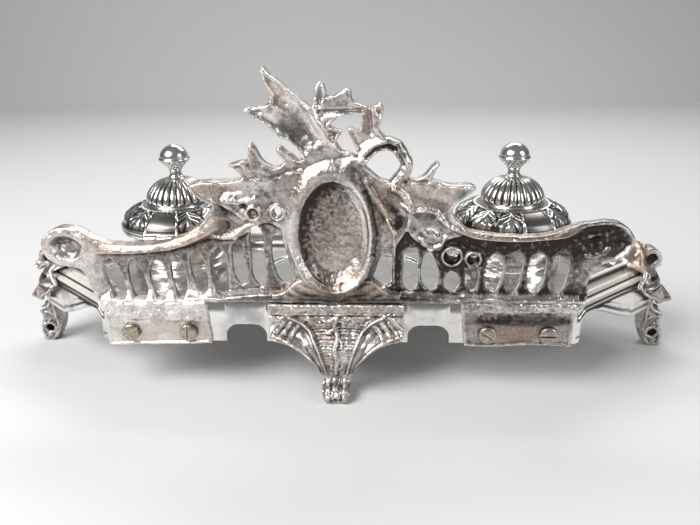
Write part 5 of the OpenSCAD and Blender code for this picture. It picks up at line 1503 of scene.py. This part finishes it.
    def caps(self, corners, t, plate_z):
        """Rings that close the plate's top, down into the sunk field, and its underside."""
        outer = corners[:, -1]
        half = t.field_half_l - t.field_r
        near = np.stack([np.clip(outer[:, 0], -half, half), np.zeros(len(outer))], 1)
        away = outer[:, :2] - near
        away /= np.linalg.norm(away, axis=1)[:, None]
        centre = np.array([0.0, -(t.border_w + t.bead_w) / 4])
        rings, d = [], t.field_d
        for r, z in ((3, 0), (0.7, 0), (0.5, 0), (0.2, -0.1), (0, -0.4), (-0.1, -d + 0.3), (-0.4, -d),
                     (-0.7, -d), (-2, -d)):
            xy = near + centre + away * (t.field_r + r)
            rings.append(np.column_stack([xy, np.full(len(xy), plate_z + z)]))
        inward = corners[:, 0] * [0.96, 0.93, 1.0]
        return [(corners.shape[1] - 1, rings, True), (0, [inward], False)]

    def ladder(self, ring, places, up):
        """Quads across a ring of corners, from its rear half to its front half."""
        middles = [min((abs(p - 0.5), k) for k, (e, p) in enumerate(places) if e == end)[1] for end in (6, 2)]
        order = np.roll(ring, -middles[0])
        span = (middles[1] - middles[0]) % len(ring)
        rear = order[: span + 1]
        front = np.concatenate([order[:1], order[:span:-1], order[span : span + 1]])
        count = min(len(rear), len(front))
        rear, front = rear[:count], front[:count]
        quad = np.stack([rear[:-1], rear[1:], front[1:], front[:-1]], 1)
        return quad if up else quad[:, ::-1]


# ---------- lids and finials, turned round the well's axis ----------

LID_Z, LID_TOP = LID_LO[2], LID_HI[2]
LID_R = (LID_HI[0] - LID_LO[0]) / 2
WELL_XY = {side: ((node_box(side + "_lid")[0][0] + node_box(side + "_lid")[1][0]) / 2, LID_LO[1] + LID_R)
           for side in SIDES}
BAND_TOP = LID_Z + 3.5
CANOPY_TOP = BAND_TOP + 8.75
DOME_Z = CANOPY_TOP - 0.6
PANEL_TURN = {"right": 86.0, "left": 111.0}  # degrees from +X to the middle of the smooth panel
LID_STEPS, BUD_STEPS = 432, 240  # steps round a lid and round a finial
HINGE_OUT, HINGE_DROP = 2.7, 0.4  # hinge pin behind the rim, and below it
KNUCKLE_R, BORE_R, KNUCKLE_HALF = 2.2, 1.05, 3.0
BERRIES, BERRY_ROWS = 17, 4  # berries round a finial, and rows of them


def lathe(outline, count, move=None):
    """Corners and quads of a closed outline turned round Z; move(angle, row) shifts it outward and up."""
    outline = np.asarray(outline, float)
    angle = np.arange(count) * 2 * math.pi / count
    a, i = np.meshgrid(angle, np.arange(len(outline)), indexing="ij")
    r, z = outline[i, 0], outline[i, 1]
    if move is not None:
        dr, dz = move(a, r, z, i)
        r, z = r + dr, z + dz
    corners = np.stack([r * np.cos(a), r * np.sin(a), z], -1).reshape(-1, 3)
    index = np.arange(a.size).reshape(a.shape)
    nxt, up = np.roll(index, -1, 0), np.roll(index, -1, 1)
    quads = np.stack([index, nxt, np.roll(nxt, -1, 1), up], -1)
    return corners, quads.reshape(-1, 4)


def add_turned(name, side, slot, outline, count, move, rounds, shade):
    """Makes a turned piece of a lid; shade(angle, row, hollow, edge) says how dark and bright it is."""
    corners, quads = lathe(outline, count, move)
    a = np.arctan2(corners[:, 1], corners[:, 0]) % (2 * math.pi)
    hollow, edge = hollows(corners, quads, rounds)
    dark, bright = shade(a, np.tile(np.arange(len(outline)), count), hollow, edge)
    values = {"hollow": np.clip(dark, 0, 1), "edge": bright}
    x, y = WELL_XY[side]
    return add_piece(name, corners + [x, y, 0], quads, "lid_silver", side + "_lid_body", slot, values)


def refine(points, reach):
    """An open outline with points no further apart than reach."""
    made = []
    for a, b in zip(points, points[1:]):
        n = max(1, int(math.ceil(np.linalg.norm(b - a) / reach)))
        made += [a + (b - a) * k / n for k in range(n)]
    return np.array(made + [points[-1]])


def offset(x, z, points):
    """Points moved by x and z."""
    return np.array(points, float) + (x, z)


def wrap(turns):
    """A number of turns brought to -0.5 up to 0.5."""
    return (turns + 0.5) % 1.0 - 0.5


def lid_relief(side, look):
    """A function of angle, radius and height: a lid's outward and upward shift, and how dark it is, which stands for
    patina and painted shade in the grooves and a painted dark reflection on the smooth panel.
    """
    panel_at = math.radians(PANEL_TURN[side])

    def dome(a, r, z):
        """Outward shift and darkness of the tongues round the dome."""
        there = (r < 16.4) & (z > DOME_Z + 2.2)
        turn = wrap(a * look.flutes / (2 * math.pi))
        foot = DOME_Z + 2.5 + 1.5 * (1 - hump(turn, 0.5))
        ends = smooth(z - foot, 0, 0.6) * smooth(-z, -LID_TOP - 0.2, -LID_TOP + 1.2)
        tongue = hump(turn, 0.47)
        out = (look.tongue_h * tongue - 0.35 * (1 - tongue)) * ends * (0.45 + 0.55 * smooth(r, 4.5, 9.0))
        dark = smooth(np.abs(turn), 0.26, 0.44) * smooth(z - foot, -0.6, 0.2) + hump(z - foot + 0.3, 0.5) * 0.6
        return np.where(there, out, 0), np.where(there, dark, 0)

    def fans(a, s, panel):
        """Height and darkness of the leaf fans, from the canopy's inner edge (s = 0) to its outer (1)."""
        fan = wrap((a - panel_at) * look.fans / (2 * math.pi))
        width = 0.04 + 0.42 * smooth(s, -0.2, 0.7) - 0.1 * smooth(s, 0.75, 1.0)
        inside = smooth(width - np.abs(fan), 0, 0.04)
        spoke = np.abs(fan) / np.maximum(width, 0.05)
        veins = 0.5 + 0.5 * np.cos(2 * math.pi * (s * 3.4 - spoke * 1.5))
        rib = hump(spoke, 0.22)
        leaf = inside * (0.35 + 0.45 * veins * (1 - rib) + 0.55 * rib) + 0.5 * hump(np.abs(fan) - width, 0.04)
        between = wrap(fan + 0.5)
        knob = hump(between, 0.10) * hump(s - 0.30, 0.16) + hump(between, 0.07) * hump(s - 0.86, 0.12)
        leaf = np.where(panel > 0, 0.25 * panel + leaf * (1 - panel), leaf)
        rise = look.fan_h * (leaf + 0.8 * knob * (1 - panel))
        # painted dark reflection on the smooth panel
        shade = ((1 - inside) * 0.95 + inside * (1 - veins) * (1 - rib) * 0.75) * (1 - panel) + panel * 0.55
        return rise * smooth(s, 0.0, 0.12) * smooth(1 - s, -0.01, 0.08), shade * smooth(s, 0.0, 0.1)

    def relief(a, r, z):
        off_panel = np.abs(wrap((a - panel_at) / (2 * math.pi))) * 360
        panel = 1 - smooth(off_panel, look.panel_deg, look.panel_deg + 1.2)
        frame_line = hump(off_panel - look.panel_deg - 2.0, 1.7)
        out, dark = dome(a, r, z)
        canopy = (r > 19.0) & (z > BAND_TOP + 0.2) & (z < CANOPY_TOP)
        s = np.clip((r - 19.5) / (LID_R - 1.6 - 19.5), 0, 1)
        rise, shade = fans(a, s, panel)
        bead = np.abs(np.cos(a * look.fans * 2.5)) * hump(s - 0.03, 0.05)
        lift = np.where(canopy, rise + (0.5 * frame_line + 0.7 * bead), 0)
        foot_line = hump(z - BAND_TOP - 0.75, 0.45) * (r > LID_R - 4)
        dark = dark + np.where(canopy, shade * (1 - frame_line), 0) + 0.9 * foot_line * (1 - frame_line)
        dark = dark + np.where(canopy, 0.2 * smooth(np.cos(3 * a + 1), 0, 1), 0)
        cove = (r > 16.2) & (r <= 20.5) & (z > CANOPY_TOP - 2)
        band = (r > LID_R - 1.5) & (z <= BAND_TOP + 0.1)
        out = out - np.where(band, 0.35 * panel, 0) + np.where(band, 0.25 * frame_line, 0)
        # painted dark reflection on the band below the smooth panel
        dark = dark + np.where(cove, 0.3, 0) + np.where(band, 0.45 * panel * (1 - frame_line), 0)
        return out + lift * 0.55, lift * 0.8, np.clip(dark, 0, 1)

    return relief


class INKSTAND_OT_lids(bpy.types.Operator):
    """Turns the two lids with their tongues, leaf fans and rear panel, and their hinge knuckles"""

    bl_idname = "inkstand.lids"
    bl_label = "Lids"

    def execute(self, context):
        look = context.scene.inkstand_lids
        outside = profile(
            offset(LID_R, LID_Z, [(0, 0.2), (0, 1.5), (-0.35, 1.7), (-0.35, 1.95), (0, 2.15)]),
            offset(LID_R, BAND_TOP, [(0, -0.5), (-0.6, 0)]),
            curve(*offset(LID_R, BAND_TOP, [(-1.1, 0.5), (-2.2, 4.6)]),
                  *offset(0, CANOPY_TOP, [(24, -1.6), (18.6, -0.1)]), 12),
            curve(*offset(0, CANOPY_TOP, [(18.3, 0), (17.4, 0.1), (16.4, -0.3)]), (16, DOME_Z + 1.0), 5),
            offset(0, DOME_Z, [(16, 1.3), (15.6, 1.6), (15.6, 1.9), (15.9, 2.1)]),
            curve(*offset(0, DOME_Z, [(15.9, 3.6), (15.8, 7.4)]),
                  *offset(0, LID_TOP, [(11.5, -1.1), (4.2, -0.4)]), 14),
            [(4.2, LID_TOP), (1.6, LID_TOP)],
        )
        inside = profile(
            [(1.6, LID_TOP - 4.4)],
            curve(*offset(0, LID_TOP, [(4.2, -4.2), (6.5, -4.6)]),
                  *offset(0, DOME_Z, [(12.7, 5.6), (13.6, 1)]), 6),
            offset(0, CANOPY_TOP, [(14.0, -3.0), (18.6, -3.4)]),
            [(21.5, BAND_TOP + 3.0), (21.5, LID_Z), (24, LID_Z), (24, BAND_TOP + 1.4)],
            offset(LID_R, BAND_TOP, [(-3.2, -0.6), (-1.8, -2.2)]),
            offset(LID_R, LID_Z, [(-1.8, 0), (-0.2, 0)]),
        )
        outline = np.concatenate([refine(outside, 0.6), refine(inside, 2.0)])
        outer_end = len(refine(outside, 0.6)) - 1
        for side in SIDES:
            relief = lid_relief(side, look)

            def move(a, r, z, i):
                dr, dz, _ = relief(a, r, z)
                return dr * (i <= outer_end), dz * (i <= outer_end)

            def shade(a, row, hollow, edge):
                dark = relief(a, outline[row, 0], outline[row, 1])[2] * (row <= outer_end)
                return hollow * 0.5 + dark * 0.85 + (row > outer_end) * 0.3, edge * 0.8

            piece = add_turned(side + "_lid_sheet", side, "silver_sheet", outline, LID_STEPS, move, 2, shade)
            knuckle = self.knuckle(side, *WELL_XY[side])
            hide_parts(side + "_lid")
            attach(knuckle, side + "_lid_body")
        return {"FINISHED"}

    def knuckle(self, side, x, y):
        """The lid's middle knuckle and the strap that joins it to the rim."""
        hinge_y, hinge_z, h = y + LID_R + HINGE_OUT, LID_Z - HINGE_DROP, 0.2
        low = (x - KNUCKLE_HALF - 0.4, y + LID_R - 2, LID_Z - 3.2)
        px, py, pz = space(low, (x + KNUCKLE_HALF + 0.4, hinge_y + 2.8, LID_Z + 2.4), h)
        off = np.hypot(py - hinge_y, pz - hinge_z)
        strap = np.maximum(np.maximum(y + LID_R - 1.4 - py, py - hinge_y), np.abs(pz - LID_Z - 0.8) - 0.75)
        field = np.maximum(blend_min(off - KNUCKLE_R, strap, 0.8), BORE_R - off)
        field = blend_max(field, np.abs(px - x) - KNUCKLE_HALF, 0.3)
        return add_sculpt(
            side + "_lid_knuckle", field, low, h, "lid_silver", body=side + "_lid_body", slot="silver_sheet"
        )


class INKSTAND_OT_finials(bpy.types.Operator):
    """Turns the finials: a smooth bud over a net of berries and a collared neck"""

    bl_idname = "inkstand.finials"
    bl_label = "Finials"

    def execute(self, context):
        low, (top_x, _, top) = node_box("left_finial")
        bud = (top_x - low[0]) / 2
        wide = top - (top - LID_TOP) * 0.44
        under = curve(*offset(0, LID_TOP, [(3.3, 4.6), (4.6, 6.1)]),
                      *offset(bud, wide, [(-2.6, -2.5), (-0.5, -0.6)]), 44)
        neck = profile(
            offset(0, LID_TOP, [(0.01, -3), (1.3, -3), (1.3, 0.02), (3.7, 0.02)]),
            curve(*offset(0, LID_TOP, [(3.95, 0.15), (4.0, 0.5), (3.9, 0.8), (3.45, 0.95)]), 4),
            offset(0, LID_TOP, [(3.1, 1.3), (3.05, 3.3)]),
            curve(*offset(0, LID_TOP, [(3.2, 3.5), (3.6, 3.7), (3.6, 4.2), (3.25, 4.4)]), 4),
        )
        outline = profile(
            neck,
            under,
            curve(*offset(bud, wide, [(-0.2, -0.4), (0, -0.2), (0, 0.3), (-0.3, 0.6)]), 6),
            curve(*offset(bud, wide, [(-0.8, 0.9), (-0.6, 4.4)]), (bud * 0.45, top), (0.01, top), 22),
        )
        first, last = len(neck), len(neck) + len(under)
        runs = np.concatenate([[0], np.cumsum(np.hypot(*np.diff(under, axis=0).T))])

        def berry(a, i):
            """Height of the net of berries, from 0 to 1; 1 off the net."""
            s = np.interp(i, np.arange(first, last), runs / runs[-1]) * BERRY_ROWS
            row = np.clip(np.floor(s), 0, BERRY_ROWS - 1)
            across = wrap(a * BERRIES / (2 * math.pi) + 0.5 * row)
            return np.where((i >= first) & (i < last), hump(across, 0.5) * hump(s - row - 0.5, 0.52), 1.0)

        def move(a, r, z, i):
            lift = np.where((i >= first) & (i < last), 0.7 * berry(a, i) - 0.35, 0)
            return lift * 0.8, -lift * 0.6

        def shade(a, row, hollow, edge):
            return hollow * 0.4 + (1 - smooth(berry(a, row), 0.25, 0.7)) * 0.8, edge * 0.5

        for side in SIDES:
            piece = add_turned(side + "_bud", side, "silver_casting", outline, BUD_STEPS, move, 1, shade)
            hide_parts(side + "_finial")
        return {"FINISHED"}


# ---------- wells, pots, pins and fasteners ----------


class INKSTAND_OT_fittings(bpy.types.Operator):
    """Gives the wells, ink pots, hinge pins, screws and nuts their finishes"""

    bl_idname = "inkstand.fittings"
    bl_label = "Wells and fittings"

    def execute(self, context):
        finishes = {
            "well_silver": ("left_well", "right_well"),
            "clear_glass": ("left_ink_pot", "right_ink_pot"),
            "pin_steel": ("left_hinge_pin", "right_hinge_pin", "leg_screws", "well_screws"),
            "screw_steel": ("gallery_screws",),
            "nut_brass": ("gallery_nuts",),
        }
        for finish, nodes in finishes.items():
            for node in nodes:
                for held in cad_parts[node].material_slots:
                    held.material = material(finish)
        return {"FINISHED"}


# ---------- floor, light and camera ----------


SWEEP_HALF, SWEEP_BACK, SWEEP_R, SWEEP_TOP = 7000, -1200, 300, 3000  # the backdrop's paper
LAMPS = (  # name, place, aim, width, height, share of the key's power
    ("key", (570, 530, 740), (0, 0, 50), 660, 560, 1.0),
    ("fill", (-820, 420, 520), (0, 0, 50), 300, 520, 0.22),
    ("rim", (-60, -620, 760), (0, 0, 60), 900, 260, 0.38),
)
CAMERA_AT = (-25.6, 363.2, 179.7)
CAMERA_TURN = (-0.0605, 0.353, -0.0176)  # yaw, pitch and roll, in radians


def lamp(name, place, aim, width, height, power):
    """A soft area lamp; places are in millimetres."""
    light = bpy.data.lights.new(name, "AREA")
    light.shape, light.size, light.size_y = "RECTANGLE", width * MM, height * MM
    light.energy = power
    made = bpy.data.objects.new(name, light)
    bpy.context.collection.objects.link(made)
    made.location = Vector(place) * MM
    made.rotation_euler = (Vector(aim) - Vector(place)).to_track_quat("-Z", "Y").to_euler()


class INKSTAND_OT_stage(bpy.types.Operator):
    """Sets the floor, the studio light and the camera"""

    bl_idname = "inkstand.stage"
    bl_label = "Stage"

    def execute(self, context):
        stage = context.scene.inkstand_stage
        bend = [(SWEEP_BACK + SWEEP_R * (1 - math.sin(a)), SWEEP_R * (1 - math.cos(a)))
                for a in np.linspace(0, math.pi / 2, 17)]
        rows = [(SWEEP_HALF, 0), *bend, (SWEEP_BACK, SWEEP_TOP)]
        corners = [(x, y, z) for y, z in rows for x in (-SWEEP_HALF, SWEEP_HALF)]
        faces = [(2 * k, 2 * k + 2, 2 * k + 3, 2 * k + 1) for k in range(len(rows) - 1)]
        mesh = bpy.data.meshes.new("studio_sweep")
        mesh.from_pydata([Vector(c) * MM for c in corners], [], faces)
        mesh.polygons.foreach_set("use_smooth", [True] * len(faces))
        mesh.materials.append(material("studio_paper"))
        sweep = bpy.data.objects.new("studio_sweep", mesh)
        context.collection.objects.link(sweep)

        world = context.scene.world or bpy.data.worlds.new("studio")
        context.scene.world = world
        world.use_nodes = True
        back = world.node_tree.nodes["Background"]
        back.inputs["Color"].default_value = (1.0, 1.0, 1.0, 1.0)
        back.inputs["Strength"].default_value = stage.sky
        for *shape, part in LAMPS:
            lamp(*shape, stage.key * part)

        camera = bpy.data.cameras.new("camera")
        camera.lens, camera.sensor_width = stage.lens, 36.0
        camera.clip_start, camera.clip_end = 0.01, 20.0
        yaw, pitch, roll = CAMERA_TURN
        ahead = Vector((-math.sin(yaw) * math.cos(pitch), -math.cos(yaw) * math.cos(pitch), -math.sin(pitch)))
        across = Vector((-math.cos(yaw), math.sin(yaw), 0.0))
        up = across.cross(ahead)
        right = across * math.cos(roll) + up * math.sin(roll)
        up = up * math.cos(roll) - across * math.sin(roll)
        made = bpy.data.objects.new("camera", camera)
        context.collection.objects.link(made)
        turn = Matrix((right, up, -ahead)).transposed().to_4x4()
        made.matrix_world = Matrix.Translation(Vector(CAMERA_AT) * MM) @ turn
        context.scene.camera = made
        context.scene.view_settings.view_transform = "Standard"
        return {"FINISHED"}


# ---------- panel and registration ----------

OPERATORS = (
    INKSTAND_OT_gallery,
    INKSTAND_OT_legs,
    INKSTAND_OT_leaves,
    INKSTAND_OT_tray,
    INKSTAND_OT_lids,
    INKSTAND_OT_finials,
    INKSTAND_OT_fittings,
    INKSTAND_OT_stage,
)


class INKSTAND_PT_sidebar(bpy.types.Panel):
    """Lists the inkstand's sizes, colours and builders"""

    bl_idname = "INKSTAND_PT_sidebar"
    bl_label = "Desk Inkstand"
    bl_space_type = "VIEW_3D"
    bl_region_type = "UI"
    bl_category = "Inkstand"

    def draw(self, context):
        layout = self.layout
        for name, group in GROUPS.items():
            box = layout.box()
            box.label(text=group.__doc__)
            for key in group.__annotations__:
                box.prop(getattr(context.scene, name), key)
        for operator in OPERATORS:
            layout.operator(operator.bl_idname)


CLASSES = (*GROUPS.values(), *OPERATORS, INKSTAND_PT_sidebar)


def register():
    for cls in CLASSES:
        bpy.utils.register_class(cls)
    for name, group in GROUPS.items():
        setattr(bpy.types.Scene, name, PointerProperty(type=group))


def unregister():
    for name in GROUPS:
        delattr(bpy.types.Scene, name)
    for cls in reversed(CLASSES):
        bpy.utils.unregister_class(cls)


def main():
    """Registers the classes, and builds every piece and the stage."""
    register()
    for operator in OPERATORS:
        group, name = operator.bl_idname.split(".")
        getattr(getattr(bpy.ops, group), name)()


if __name__ == "__main__":
    main()
